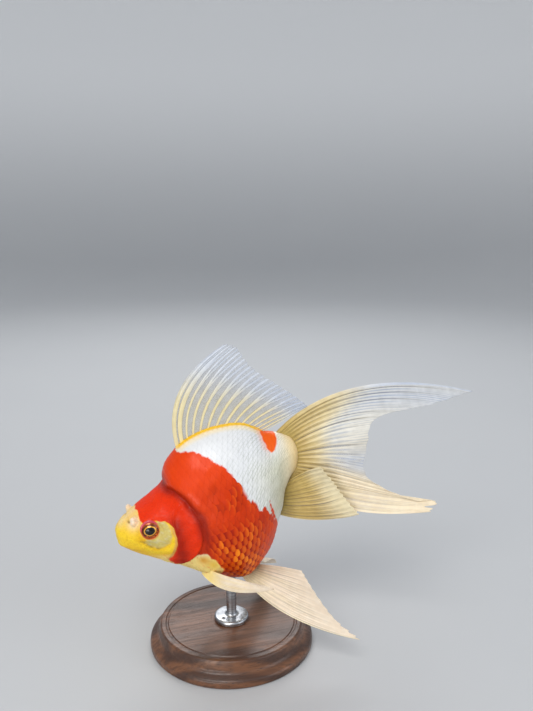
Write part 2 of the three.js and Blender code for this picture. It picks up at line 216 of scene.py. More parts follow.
# ---------------------------------------------------------------- folds of the skin
CREASE = smooth_line([
    (19.6, 40), (20.5, 18), (20.7, 13.2), (23, 12.8), (25.6, 10.8), (27.6, 7.2), (29.4, 2.4), (29.5, -3.2),
    (28, -8.5), (24.4, -13.4), (19.6, -16.6), (15.4, -17.4), (13.6, -40),
])
COVER_FRONT = smooth_line([
    (24.6, 8.6), (22.2, 6.4), (20.7, 3), (20.9, -2.6), (19.9, -7), (17.5, -11.7), (15.6, -14),
])
CHEEK_LINE = smooth_line([
    (6.2, -2.2), (8.9, -3.5), (10.9, -5.8), (13.2, -6.9), (15.7, -6.7), (18, -4.9), (19.3, -2.1), (19.2, 0.7),
    (18.2, 2.8),
])
GAZE = unit(np.array([-math.sin(math.radians(10)), math.sin(math.radians(12)), 1.0]))  # of the left eye
NOSTRIL = np.array([7.1, 4.35, 6.3])  # centre of the left nostril's fleshy flap
NOSTRIL_SIZE = np.array([1.15, 1.6, 1.55])  # its half sizes
NOSTRIL_PITS = ((-1.7, 0.45), (1.75, 0.55))  # how far behind the flap each pit lies, and its radius
COVER_EDGE, COVER_STEP = 0.3, 0.62  # the gill cover's edge stands out, and the flesh behind it lies lower

# Low fleshy swellings that the fins grow from: place on the left side, radius, height.
FIN_SWELLINGS = [
    ((29, -20.5, 13), 4.2, 0.9),
    ((45.5, -29.5, 8.5), 4.6, 0.8),
    ((65, -7.5, 5), 4.4, 0.6),
    ((70, 3, 4.4), 4, 0.5),
    ((72.5, 12, 3.6), 5, 0.4),
]


def mouth_place(left):
    """How far above the mouth's slit points lie, and how near they are to the mouth."""
    s, h, w = np.moveaxis(left, -1, 0)
    return h + 3.5 + 0.14 * w**2, fall(s, 3, 4.6) * fall(w, 2.3, 3.3)


def dorsal_root(s, h):
    """1 along the dorsal fin's root and 0 away from it."""
    return smooth(s, 28, 31) * fall(s, 60, 64) * smooth(h, 15, 20)


def relief(points):
    """How far the skin's folds stand out from the plain body, in millimetres."""
    left = mirrored(points)
    s, h, w = np.moveaxis(left, -1, 0)
    behind = from_line(CREASE, left)
    nape = smooth(h, 4, 9)
    groove = -1.15 * hill(behind, 1.15) + 0.4 * hill(behind - 3.6, 2.6) + 0.12 * hill(behind + 3, 1.8)
    before_edge = COVER_EDGE * np.exp(np.minimum(behind, 0) / 2.6)
    after_edge = -COVER_STEP * np.exp(-np.maximum(behind, 0) / 1.8)
    edge = smooth(behind, -0.15, 0.15)
    flap = np.where(behind < 0, before_edge, after_edge)
    flap = np.where(np.abs(behind) < 0.15, COVER_EDGE * (1 - edge) - COVER_STEP * edge, flap)
    height = nape * groove + (1 - nape) * smooth(w, 2, 6) * flap

    on_cheek = smooth(w, 4, 8) * fall(behind, -2, 0)
    front = from_line(COVER_FRONT, left)
    height = height + on_cheek * (-0.26 * hill(front, 0.35) + 0.18 * hill(front - 1.2, 0.9))
    cheek = from_line(CHEEK_LINE, left)
    height = height + on_cheek * (0.1 * hill(cheek + 1.5, 1.3) - 0.05 * hill(cheek, 0.6))
    mouth, lips = mouth_place(left)
    height = height + lips * (0.16 * hill(np.abs(mouth) - 0.7, 0.5) - 0.45 * hill(mouth, 0.2))

    for place, radius, rise in FIN_SWELLINGS:
        height = height + rise * near(left, place, radius)
    height = height + 0.5 * dorsal_root(s, h) * hill(w, 1.5)
    soft = fall(behind, -1, 1)
    return height + (0.05 + 0.05 * soft) * ripple(points, 5, 3) + 0.02 * soft * ripple(points, 1.6, 4)


def with_nostrils(points, normals):
    """Raises a fleshy flap over each nostril, with a pit before and behind it."""
    for _, side in SIDES:
        centre = NOSTRIL * (1, 1, side)
        this_side = points[..., 2] * side > 0
        # Where the normal through each point leaves the flap's ellipsoid.
        start, way = (points - centre) / NOSTRIL_SIZE, normals / NOSTRIL_SIZE
        a, b, c = (way * way).sum(-1), (start * way).sum(-1), (start * start).sum(-1)
        root = b * b - a * (c - 1)
        rise = np.maximum(np.where(root > 0, (-b + np.sqrt(np.maximum(root, 0))) / a, 0), 0)
        foot = 0.25 * hill(np.maximum(np.sqrt(c) - 1, 0), 0.3) * this_side
        fold = 0.22 * hill(points[..., 1] - centre[1] + 0.5, 0.35) * smooth(rise, 0.2, 0.8)
        points = points + normals * (rise * (1 - fold) + foot)[..., None]
        for pit, radius in NOSTRIL_PITS:
            deep = near(points[..., :2], centre[:2] + (pit, 0.15 * pit), radius) * this_side
            points = points - normals * (0.65 * deep)[..., None]
    return points


def with_sockets(points):
    """Brings the skin to a round opening at each eye, and takes it behind the eyeball within the opening."""
    for _, side in SIDES:
        gaze = GAZE * (1, 1, side)
        offset = points - EYE * (1, 1, side)
        ahead = offset @ gaze
        away = np.linalg.norm(offset - ahead[..., None] * gaze, axis=-1)
        blend = fall(away, EYE_OPENING + 0.5, EYE_OPENING + 2.2) * (ahead > 0)
        level = EYE_RIM - 0.1 - 2.6 * np.maximum(EYE_OPENING + 0.15 - away, 0)
        points = points + gaze * (blend * (np.maximum(level, 1.5) - ahead))[..., None]
    return points


# ---------------------------------------------------------------- markings
def srgb(red, green, blue):
    """A colour given as on a screen, 0 to 255, as the linear numbers that Blender takes."""
    share = np.array([red, green, blue]) / 255
    return np.where(share <= 0.04045, share / 12.92, ((share + 0.055) / 1.055) ** 2.4)


PEARL = srgb(222, 224, 227)
PEARL_SHADE = srgb(204, 202, 172)
RED = srgb(220, 60, 0)
HEAD_RED = srgb(224, 48, 3)
# A darker red for painted shade: in the crease, behind the gill cover, across the cover and on the flank.
SHADE_RED = srgb(130, 14, 0)
ORANGE = srgb(240, 82, 0)
PINK = srgb(240, 160, 140)
GOLD = srgb(236, 186, 34)
SNOUT_GOLD = srgb(240, 201, 46)
CREAM = srgb(194, 182, 112)
THROAT = srgb(246, 218, 134)
BACK_CREAM = srgb(240, 222, 184)
AMBER = srgb(212, 146, 40)
OLIVE = srgb(122, 100, 50)
TAN = srgb(206, 150, 96)
FLAP_WHITE = srgb(240, 222, 206)
SPOT_RED = srgb(236, 92, 14)

# The red of the head and trunk, as an outline in side view: over the nape, down the serrated rear edge,
# forward under the belly, round the pectoral fin's root and up the cheek.
RED_AREA = [
    (10, 40), (28.4, 40), (28.4, 25.2), (34.3, 25), (37.4, 23.6), (39.9, 21.8), (41.8, 19.8), (44, 17.6),
    (45.9, 13.4), (47.7, 10.4), (48.2, 7.7), (50.6, 3.8), (52.4, 0.2), (53.6, -1), (54, -0.2),
    (54.8, 0.3), (56.4, -3.2), (58, -6.4), (61, -12), (63, -20), (60, -45), (34, -45), (33.9, -27),
    (34.1, -23), (35.1, -21), (34.1, -18.3), (32.3, -14.6), (31, -12.9), (29.9, -11.4), (27.5, -11.1),
    (24.6, -13.2), (20.8, -16.2), (18.5, -16), (16.2, -13.1), (17.5, -11.7), (18.9, -9.5), (20.1, -6.6),
    (20.7, -3.1), (20.3, 0.4), (19.4, 2.8), (18.1, 3.5), (15.7, 4), (11.8, 4.1), (9.5, 4.6), (9.6, 5.8),
    (9.4, 6.7),
]
RED_SPIKE = [(57.3, 1.8), (58.1, -1.2), (59.1, -4), (59.9, -9), (58.2, -8), (57.6, -4.2), (57.2, -1)]
TAIL_SPOT = [
    (61.8, 30), (61.8, 22.6), (61.7, 20.4), (62.6, 18), (63.4, 16.2), (65, 16.6), (67, 18.6), (67.9, 20.6),
    (68, 23), (68, 30),
]
CHEEK_PATCH = [
    (15.4, 4), (18.1, 3.4), (19.2, 0.7), (19.3, -2.1), (18, -4.9), (15.7, -6.4), (13.2, -6.6), (10.9, -5.4),
    (9, -3.4), (11, -1),
]


def paint(colour, *layers):
    """A colour with others laid over it in turn, each as strongly as its share says."""
    for other, share in layers:
        colour = colour + (other - colour) * share[..., None]
    return colour


def face_colour(left):
    """The head's colour where it isn't red: gold, with a cream cheek and a pale nostril, and painted shade in
    the groove under the cheek, the mouth's slit and the pit before the nostril.
    """
    s, h, w = np.moveaxis(left, -1, 0)
    cheek = from_line(CHEEK_LINE, left)
    crescent = hill(cheek + 1.7, 1.4) * smooth(w, 4, 8)
    patch = smooth(inside(CHEEK_PATCH, left), -0.5, 0.7)
    broken = smooth(ripple(left, 2.6, 13), -0.7, 0.5)
    # A broken line of painted shade along the groove under the cheek.
    cheek_groove_shade = hill(cheek - 0.2, 0.6) * smooth(w, 5, 8) * fall(h, -3.5, -1) * fall(s, 13, 16.5) * broken
    soot = smooth(ripple(left, 1.5, 12), 0.3, 1) * near(left[..., :2], (9.5, -4.2), 2.6)
    mouth, lips = mouth_place(left)
    return paint(
        GOLD,
        (SNOUT_GOLD, fall(s, 2, 9)),
        (SNOUT_GOLD, crescent),
        (THROAT, 0.8 * smooth(s, 8, 15) * fall(h, -12, -9) * (1 - crescent)),
        (AMBER, 0.55 * fall(h, -7, -3.5) * fall(s, 3, 7)),
        (FLAP_WHITE, 0.42 * hill(w, 3.4) * smooth(h, 0, 3) * smooth(s, 0, 3)),
        (CREAM, 0.85 * patch),
        (PEARL_SHADE, 0.4 * patch * smooth(ripple(left, 2.2, 6), 0, 1)),
        (OLIVE, 0.5 * cheek_groove_shade),
        (OLIVE, 0.35 * soot),
        # painted shade in the mouth's slit
        (OLIVE, 0.55 * lips * hill(mouth, 0.3)),
        (FLAP_WHITE, 0.95 * near(left, NOSTRIL + (-0.1, 0.1, 0), 2.5)),
        # painted shade in the pit before the nostril's flap
        (OLIVE, 0.75 * near(left[..., :2], NOSTRIL[:2] + (-1.75, -0.2), 0.45) * smooth(w, 2, 4)),
    )


def markings(points):
    """The colour of the skin at points of the body, with painted shade laid into its red, and how strongly
    painted glints show on its scales there.
    """
    left = mirrored(points)
    s, h, w = np.moveaxis(left, -1, 0)
    behind = from_line(CREASE, left)
    head = fall(behind, -0.3, 0.3)
    along_top = dorsal_root(s, h)
    breast = fall(s, 34, 44) * fall(h, -14, -8)

    # The right side's markings differ a little from the left's, as in any real fish.
    other_side = fall(points[..., 2], -8, -1)[..., None]
    moved = left + other_side * (1.3, -1.4, 0) * (0.6 + 0.4 * ripple(left, 22, 11))[..., None]
    edge = inside(RED_AREA, moved + 0.3 * ripple(points, 3.4, 5)[..., None] * (1, 1, 0))
    spike = inside(RED_SPIKE, left + 0.25 * ripple(points, 2, 14)[..., None])
    spot_move = fall(points[..., 2], -3, 0)[..., None] * (0, -3.2, 0)
    spot = inside(TAIL_SPOT, left + spot_move + 0.2 * ripple(points, 2.5, 8)[..., None])

    # The red is paler along the keel of the belly.
    keel = fall(w, 4.5, 9.5) * fall(h, -18, -12) * (1 - head)
    red = np.maximum(smooth(edge, -0.12, 0.18), smooth(spike, -0.05, 0.15)) * (1 - 0.85 * keel)
    low_flank = fall(h, -14, -2) * smooth(s, 30, 36)
    mid_flank = hill(h - 8, 8) * smooth(s, 33, 39) * smooth(ripple(left, 8, 13), -0.5, 0.2)
    # Painted shade, laid on in the darker red: in the crease behind the head, just behind the gill cover's
    # edge, across the cover's middle behind the cheek, and over the widest part of the flank.
    crease = hill(behind - 0.2, 1.7) * smooth(h, -9, 0)
    shadow_behind_cover = smooth(behind, 0, 0.25) * fall(behind, 1.5, 5) * fall(h, 3, 9)
    cover = hill(s - 21.3, 2.7) * fall(h, 1, 7) * head
    side = smooth(w, 13, 17) * smooth(behind, 2, 6) * (1 - 0.5 * low_flank)
    own_red = paint(
        RED,
        (HEAD_RED, head),
        (ORANGE, np.minimum(0.4 * low_flank + 0.15 * mid_flank, 0.5)),
        (SHADE_RED, np.minimum(0.85 * crease + 0.55 * shadow_behind_cover + 0.75 * cover + 0.25 * side, 0.8)),
    )

    tan = hill(edge + 0.35, 0.42) * head * fall(h, 0, 2.5) * smooth(s, 15, 17) * smooth(w, 5, 8)
    specks = smooth(ripple(points, 1.3, 9) + ripple(points, 4, 10), 1.15, 1.4) * breast * (1 - red)
    colour = paint(
        PEARL,
        (PEARL_SHADE, 0.8 * smooth(s, 46, 68) * fall(h, 9, 22) * smooth(h, -14, -4)),
        (BACK_CREAM, 0.8 * smooth(s, 64, 72)),
        (GOLD, 0.35 * smooth(s, 69, 74)),
        (BACK_CREAM, 0.85 * along_top * fall(w, 2.2, 4.6)),
        (GOLD, along_top * fall(w, 1.2, 2)),
        (THROAT, breast),
        (GOLD, 0.8 * near(left, (32, -16.5, 15.5), 2.6)),
        (AMBER, near(left, (28.6, -14, 15.4), 2.1)),
        (face_colour(left), head),
        (TAN, 0.8 * tan),
        (PINK, 0.75 * hill(spot, 1.3) * fall(s, 60, 63.5) * (1 - red)),
        (own_red, red),
        (SPOT_RED, smooth(spot, -0.2, 0.3)),
        (RED, 0.5 * specks),
    )
    # Where highlights are painted on the scales: over the lower flank, and in patches higher up.
    low_glint = fall(h, -7, 1) * smooth(s, 27, 31) * (1 - 0.6 * smooth(s, 48, 56))
    low_glint = low_glint * (0.6 + 0.4 * fall(h, -14, -6) * fall(s, 42, 50))
    return colour, red * np.maximum(low_glint, 0.4 * mid_flank * smooth(h, -4, 0))


# ---------------------------------------------------------------- making meshes
VALUE_KINDS = {1: ("FLOAT", "value"), 3: ("FLOAT_VECTOR", "vector"), 4: ("FLOAT_COLOR", "color")}


def add_mesh(name, points, quads, triangles=(), uv=None, colour=None, **values):
    """A smooth mesh piece from arrays, with its points in metres. uv holds one place for each corner, quads'
    corners first. colour and values hold one row for each point."""
    quads = np.reshape(quads, (-1, 4)).astype(np.int32)
    triangles = np.reshape(triangles, (-1, 3)).astype(np.int32)
    corners = np.concatenate([quads.ravel(), triangles.ravel()])
    starts = np.concatenate([4 * np.arange(len(quads)), 4 * len(quads) + 3 * np.arange(len(triangles))])
    mesh = bpy.data.meshes.new(name)
    mesh.vertices.add(len(points))
    mesh.vertices.foreach_set("co", points.astype(np.float32).ravel())
    mesh.loops.add(len(corners))
    mesh.loops.foreach_set("vertex_index", corners)
    mesh.polygons.add(len(starts))
    mesh.polygons.foreach_set("loop_start", starts.astype(np.int32))
    mesh.update(calc_edges=True)
    mesh.polygons.foreach_set("use_smooth", np.ones(len(starts), bool))
    if uv is not None:
        mesh.uv_layers.new(name="OFBake").data.foreach_set("uv", uv.astype(np.float32).ravel())
    if colour is not None:
        colour = np.clip(colour.reshape(-1, 3), 0, 1)
        values = {"Marking": np.hstack([colour, np.ones((len(colour), 1))]), **values}
    for key, rows in values.items():
        rows = np.reshape(rows, (len(points), -1)).astype(np.float32)
        kind, field = VALUE_KINDS[rows.shape[1]]
        mesh.attributes.new(key, kind, "POINT").data.foreach_set(field, rows.ravel())
    piece = bpy.data.objects.new(name, mesh)
    scene.collection.objects.link(piece)
    return piece


def finish_piece(piece, material, slot, *nodes):
    piece.data.materials.append(material)
    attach(piece, "root")
    if nodes:
        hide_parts(*nodes)


def grid(down, over):
    """Two grids that pair each number of one list with each of another."""
    return np.meshgrid(down, over, indexing="ij")


def ring_pairs(count):
    """The numbers of the points round a ring, and of the points after them."""
    return np.arange(count), (np.arange(count) + 1) % count


def grid_quads(rows, columns, closed=False, looped=False):
    """Corner numbers of a grid's quads. closed joins its last column to its first, and looped its rows."""
    i, j = grid(np.arange(rows if looped else rows - 1), np.arange(columns if closed else columns - 1))
    below, k = (i + 1) % rows, (j + 1) % columns
    quads = [i * columns + j, i * columns + k, below * columns + k, below * columns + j]
    return np.stack(quads, -1).reshape(-1, 4)


def capped(rows, columns):
    """Corner numbers for a closed grid, and for fans to the two poles, whose points follow the grid's."""
    j, k = ring_pairs(columns)
    last = (rows - 1) * columns
    pole = np.full(columns, rows * columns)
    fans = [np.stack([pole, k, j], -1), np.stack([pole + 1, last + j, last + k], -1)]
    return grid_quads(rows, columns, closed=True), np.vstack(fans)


def grid_uv(rows, columns, low=(0, 0), high=(1, 1)):
    """Corner places for grid_quads of a grid with that many steps each way."""
    i, j = grid(np.arange(rows), np.arange(columns))
    corners = [(i, j), (i, j + 1), (i + 1, j + 1), (i + 1, j)]
    places = np.stack([np.stack([a / rows, b / columns], -1) for a, b in corners], 2)
    return (places * np.subtract(high, low) + low).reshape(-1, 4, 2)


# ---------------------------------------------------------------- materials
class Value:
    """A node's output. Sums, products and powers of it add Math nodes."""

    def __init__(self, nodes, socket):
        self.nodes = nodes
        self.socket = socket

    def __add__(self, other):
        return self.nodes.maths("ADD", self, other)

    def __sub__(self, other):
        return self.nodes.maths("SUBTRACT", self, other)

    def __mul__(self, other):
        return self.nodes.maths("MULTIPLY", self, other)

    def __pow__(self, other):
        return self.nodes.maths("POWER", self, other)


class Nodes:
    """A material's node tree, with a short way to add and join nodes."""

    def __init__(self, name):
        self.material = bpy.data.materials.new(name)
        self.material.use_nodes = True
        self.tree = self.material.node_tree

    def put(self, socket, value):
        if isinstance(value, Value):
            self.tree.links.new(value.socket, socket)
        elif socket.type == "RGBA":
            socket.default_value = (*value, 1)
        else:
            socket.default_value = value

    def add(self, kind, inputs, **settings):
        node = self.tree.nodes.new(kind)
        for key, value in settings.items():
            setattr(node, key, value)
        for key, value in inputs.items():
            self.put(node.inputs[key], value)
        return node

    def give(self, kind, inputs, output=0, **settings):
        return Value(self, self.add(kind, inputs, **settings).outputs[output])

    def surface(self, **values):
        """Sets the shader's inputs, and gives the finished material."""
        shader = self.tree.nodes["Principled BSDF"]
        for key, value in values.items():
            self.put(shader.inputs[key.replace("_", " ")], value)
        return self.material

    def attribute(self, name, output="Fac"):
        return self.give("ShaderNodeAttribute", {}, output, attribute_name=name)

    def place(self):
        return self.give("ShaderNodeTexCoord", {}, "Object")

    def split(self, value):
        parts = self.add("ShaderNodeSeparateXYZ", {0: value}).outputs
        return [Value(self, part) for part in parts]

    def maths(self, operation, *values, clamp=False):
        return self.give("ShaderNodeMath", dict(enumerate(values)), operation=operation, use_clamp=clamp)

    def step(self, value, low, high, to_low=0, to_high=1):
        inputs = {"Value": value, "From Min": low, "From Max": high, "To Min": to_low, "To Max": to_high}
        return self.give("ShaderNodeMapRange", inputs, interpolation_type="SMOOTHSTEP")

    def mix(self, share, a, b, blend="MIX"):
        return self.give("ShaderNodeMix", {0: share, 6: a, 7: b}, 2, data_type="RGBA", blend_type=blend)

    def noise(self, size, detail=2, stretch=(1, 1, 1)):
        """Noise with features about size millimetres across, in the row frame."""
        scale = [x / (size * MM) for x in stretch]
        scaled = self.give("ShaderNodeMapping", {"Vector": self.place(), "Scale": scale})
        return self.give("ShaderNodeTexNoise", {"Vector": scaled, "Scale": 1, "Detail": detail})

    def bump(self, height, depth, **others):
        """Bump with height 0 to 1 taken as depth millimetres."""
        inputs = {"Height": height, "Distance": depth * MM, "Strength": 1, **others}
        return self.give("ShaderNodeBump", inputs)

    def marking(self, size, low, high, most):
        """The mesh's own colour, lightened in soft patches."""
        patches = self.step(self.noise(size, 3), low, high, 0, most)
        return self.mix(patches, self.attribute("Marking", "Color"), (1, 1, 1), "SOFT_LIGHT")


def skin_material():
    n = Nodes("fish_skin")
    stain = n.step(n.noise(0.7, 3), 0.42, 0.7, 0, 0.16)
    colour = n.mix(stain, n.marking(3.2, 0.35, 0.75, 0.16), (0.35, 0.12, 0.03), "MULTIPLY")
    grain = n.bump(n.noise(0.45, 4), 0.08)
    return n.surface(
        Base_Color=colour, Roughness=n.step(n.noise(1.6), 0.3, 0.7, 0.38, 0.52),
        Normal=n.bump(n.noise(2.4), 0.1, Normal=grain), Specular_IOR_Level=0.15, Coat_Weight=0.05,
        Coat_Roughness=0.15, Subsurface_Weight=0.1, Subsurface_Radius=(1, 0.35, 0.2), Subsurface_Scale=0.001,
    )


def scale_material():
    """Scales. ScaleAt holds a point's place on its scale, -1 to 1 along and across, and the scale's tone."""
    n = Nodes("fish_scales")
    along, across, tone = n.split(n.attribute("ScaleAt", "Vector"))
    # This attribute marks the scales that carry painted glints, and how strongly.
    glint = n.attribute("Shine")
    rosy = n.step(glint, 0, 0.2)
    root_shade = n.step(along, 0, 0.7, 1, 0) * n.step(glint, 0, 0.7, 0.1, 0.9)
    shade = n.mix(rosy, (0.62, 0.62, 0.56), (0.5, 0.16, 0.06))
    colour = n.mix(root_shade, n.marking(3.2, 0.35, 0.75, 0.14), shade, "MULTIPLY")

    # Painted highlights: a bright pad behind the middle of each glinting scale, and a bright rim at its free
    # edge.
    spread = (along - 0.62) ** 2 * 2.2 + (across - 0.15) ** 2 * 0.75
    glint_pad = n.step(spread, 0, 0.5, 1, 0) * n.step(glint, 0.3, 1) * (tone**1.5 * 0.7 + 0.25)
    radius = (along**2 + across**2) ** 0.5
    rim = n.step(radius, 0.62, 0.86) * n.step(along, 0.3, 0.75) * n.step(tone, 0.3, 0.8, 0.1, 1)
    painted_highlight = n.maths("MULTIPLY_ADD", rim, 0.35, glint_pad, clamp=True) * n.step(glint, 0, 0.8)
    colour = n.mix(painted_highlight, colour, n.mix(1, colour, (1, 0.23, 0.01), "SCREEN"))
    colour = n.mix(n.step(tone, 0, 1, 0.25, 0) * rosy, colour, (0.35, 0.08, 0.02), "MULTIPLY")

    # On white scales, grey-green lines that run on from scale to scale, up and back, and fainter free edges.
    white = n.step(n.split(n.attribute("Marking", "Color"))[2], 0.25, 0.55)
    slant = 1.5 * SCALE_WIDTH * 2 / SCALE_OVERLAP
    stripes = n.maths("PINGPONG", across * slant + along, 1 / SCALE_OVERLAP)
    edges = n.step(radius, 0.8, 0.97, 0, 0.5) * n.step(across, -0.05, 0.3)
    lines = n.maths("MAXIMUM", n.step(stripes, 0.02, 0.2, 0.8, 0), edges) * white
    lines = lines * n.step(n.noise(4), 0.35, 0.6, 0.3, 1) * n.attribute("Lined")
    colour = n.mix(lines, colour, (0.62, 0.66, 0.57), "MULTIPLY")

    # Fine ridges that fan out from the root, and growth rings round it.
    ridges = n.maths("SINE", n.maths("ARCTAN2", across, along + 1.7) * 60)
    rings = n.maths("SINE", ((along + 0.6) ** 2 + across**2) ** 0.5 * 34)
    return n.surface(
        Base_Color=colour, Roughness=n.step(tone, 0, 1, 0.34, 0.46), Metallic=0.05, Specular_IOR_Level=0.2,
        Normal=n.bump(ridges * 0.3 + rings * 0.25, 0.012), Coat_Weight=0.05, Coat_Roughness=0.15,
    )


def fin_material():
    """A rayed membrane: its colour and cover come from the mesh."""
    n = Nodes("fin_membrane")
    patches = n.step(n.noise(4), 0.3, 0.7, -0.05, 0.05)
    return n.surface(
        Base_Color=n.marking(2.6, 0.35, 0.7, 0.2), Roughness=0.42, Specular_IOR_Level=0.3, Coat_Weight=0.1,
        Alpha=n.maths("ADD", n.attribute("Cover"), patches, clamp=True), Coat_Roughness=0.2,
        Normal=n.bump(n.noise(0.7), 0.03),
    )


# ---------------------------------------------------------------- skin
SKIN_RINGS = 430
SKIN_SIDES = 320
SCALE_DEPTH = 0.42  # how far the skin lies under the scales' outer surface
BARE_DEPTH = 0.05  # the same where there are no scales


def scale_presence(plain):
    """How fully the scales are formed at a point: none on the head, low on the nape and breast."""
    left = mirrored(plain)
    s, h, _ = np.moveaxis(left, -1, 0)
    behind = smooth(from_line(CREASE, left), 0.8, 6)
    breast = fall(s, 33, 40) * fall(h, -13, -7)
    nape = smooth(h, 8, 15) * fall(s, 36, 46)
    return behind * fall(s, 67, 74) * (1 - 0.92 * breast) * (1 - 0.7 * nape) * (1 - 0.55 * smooth(h, 8, 17))


def skin_depth(presence):
    """How far the skin lies under the scales' outer surface, by how fully they are formed."""
    return BARE_DEPTH + (SCALE_DEPTH - BARE_DEPTH) * presence


def make_skin():
    along, angle = grid(np.arange(1, SKIN_RINGS) / SKIN_RINGS, turns(SKIN_SIDES))
    plain, normal, _ = body_frame(along, angle)
    height = relief(plain) - skin_depth(scale_presence(plain))
    points = with_sockets(with_nostrils(plain + normal * height[..., None], normal))
    tips = [points[0].mean(0) - (0.05, 0, 0), points[-1].mean(0) + (0.05, 0, 0)]
    colour, _ = markings(plain)
    tip_colours = [colour[0].mean(0), colour[-1].mean(0)]

    inset = 1 / SKIN_RINGS
    sides = np.arange(SKIN_SIDES + 1) / SKIN_SIDES
    pairs = list(zip(sides[:-1], sides[1:]))
    snout_uv = [[(0, (a + b) / 2), (inset, b), (inset, a)] for a, b in pairs]
    tail_uv = [[(1, (a + b) / 2), (1 - inset, a), (1 - inset, b)] for a, b in pairs]
    rings_uv = grid_uv(SKIN_RINGS - 2, SKIN_SIDES, (inset, 0), (1 - inset, 1))
    uv = np.vstack([rings_uv.reshape(-1, 2), np.reshape(snout_uv + tail_uv, (-1, 2))])

    points = np.vstack([points.reshape(-1, 3), tips])
    colour = np.vstack([colour.reshape(-1, 3), tip_colours])
    piece = add_mesh("skin", placed(points), *capped(SKIN_RINGS - 1, SKIN_SIDES), uv, colour)
    finish_piece(piece, skin_material(), "skin", "head", "lower_jaw", "gill_cover_left", "gill_cover_right",
                 "trunk", "tail_peduncle")


# ---------------------------------------------------------------- scales
SCALE_ROWS = 30  # rows of scales on each side, from the back to the belly
SCALE_SPOKES = 24  # points round a scale
SCALE_RINGS = (0.36, 0.66, 0.89, 0.97, 1)  # where the rings of points across a scale lie
UNDER_RIM = 0.985  # how far out the underside's ring lies
SCALE_OVERLAP = 1.9  # a scale's length over the distance to the next
SCALE_WIDTH = 1.04  # half its width over the distance to the next row
SCALE_MAP = 0.003  # a scale's width on the OFBake map
LATERAL_ROW = 14  # the row that carries the lateral line
GIRTH = 0.57  # where along the body the rows are spaced out evenly
ROWS_HALVE = 0.775  # where every second row ends, near the tail's root
ROWS_END = 0.93  # where the others end
CREASE_GAP = 1.2  # the nearest that a scale's tip comes to the crease behind the head
LATERAL_RISE = 0.14  # how far the lateral line's tubes stand up


def row_angles():
    """The angle at which each row runs: about 2.7 mm apart round the girth and less on the back and belly."""
    turn = np.linspace(0, math.pi, 721)
    ring = body_point(np.full_like(turn, GIRTH), turn)
    gap = np.interp(np.degrees(turn[1:]), [0, 30, 75, 140, 180], [2.2, 2.6, 2.8, 2.8, 2.3])
    share = np.concatenate([[0], np.cumsum(np.linalg.norm(np.diff(ring, axis=0), axis=1) / gap)])
    return np.interp(np.linspace(0, share[-1], SCALE_ROWS + 1), share, turn)


ROW_ANGLES = row_angles()


def scale_pitch(along, angle):
    """Distance between scales of one row, in millimetres: less on the back, belly and tail's root."""
    turn = np.degrees(np.abs(angle))
    across = np.interp(turn, [0, 30, 75, 120, 150, 180], [1.9, 2.2, 2.6, 2.75, 2.5, 2.1])
    return across * (1 - 0.33 * smooth(along, 0.6, 0.88))


def scale_places(side):
    """The row, along and angle of the scales' free tips on one side of the fish. The rows on the midlines of
    the back and belly go with the left side."""
    sample = np.linspace(0.2, 0.97, 900)
    middle = (sample[1:] + sample[:-1]) / 2
    places = []
    for row in range(SCALE_ROWS + 1) if side > 0 else range(1, SCALE_ROWS):
        angle = ROW_ANGLES[row]
        line = body_point(sample, np.full_like(sample, angle))
        length = np.linalg.norm(np.diff(line, axis=0), axis=1)
        count = np.concatenate([[0], np.cumsum(length / scale_pitch(middle, angle))])
        count -= np.interp(GIRTH, sample, count)
        if row % 4 == 2:
            count += 0.5 * smooth(sample, ROWS_HALVE - 0.05, ROWS_HALVE + 0.02)
        ticks = np.arange(math.ceil(count[0]), math.floor(count[-1])) + 0.5 * (row % 2)
        along = np.interp(ticks, count, sample)
        tip = body_point(along, np.full_like(along, angle))
        last = ROWS_HALVE + random.uniform(-0.012, 0.012) if row % 2 else ROWS_END
        keep = (from_line(CREASE, mirrored(tip)) > CREASE_GAP) & (along < last)
        places += [(row, a, side * angle) for a in along[keep]]
    return np.array(places)


def scale_outline():
    """One scale's points on a disc, -1 to 1 along and across: its middle, the rings of its top side, one ring
    for the underside, and the underside's middle."""
    turn = turns(SCALE_SPOKES)
    # Squarer than a circle at the sides, with a round free edge.
    rim = np.stack([np.cos(turn), np.sin(turn) * (1 + 0.1 * np.sin(2 * turn) ** 2)], -1)
    middle = np.zeros((1, 2))
    return np.vstack([middle, *(radius * rim for radius in (*SCALE_RINGS, UNDER_RIM)), middle])


def scale_faces():
    """Corner numbers of one scale: quads between its rings, and fans to its two middles."""
    j, k = ring_pairs(SCALE_SPOKES)
    *rings, under, last = 1 + SCALE_SPOKES * np.arange(len(SCALE_RINGS) + 2)
    bands = zip(rings, [*rings[1:], under])
    quads = [np.stack([ring + j, after + j, after + k, ring + k], -1) for ring, after in bands]
    fans = [np.stack([0 * j, 1 + j, 1 + k], -1), np.stack([0 * j + last, under + k, under + j], -1)]
    return np.vstack(quads), np.vstack(fans)


def repeated(faces, count, points_each, flipped):
    """One scale's faces repeated for every scale, and turned round where the scales are mirrored."""
    faces = (faces + points_each * np.arange(count)[:, None, None]).reshape(-1, faces.shape[1])
    return faces[:, ::-1] if flipped else faces


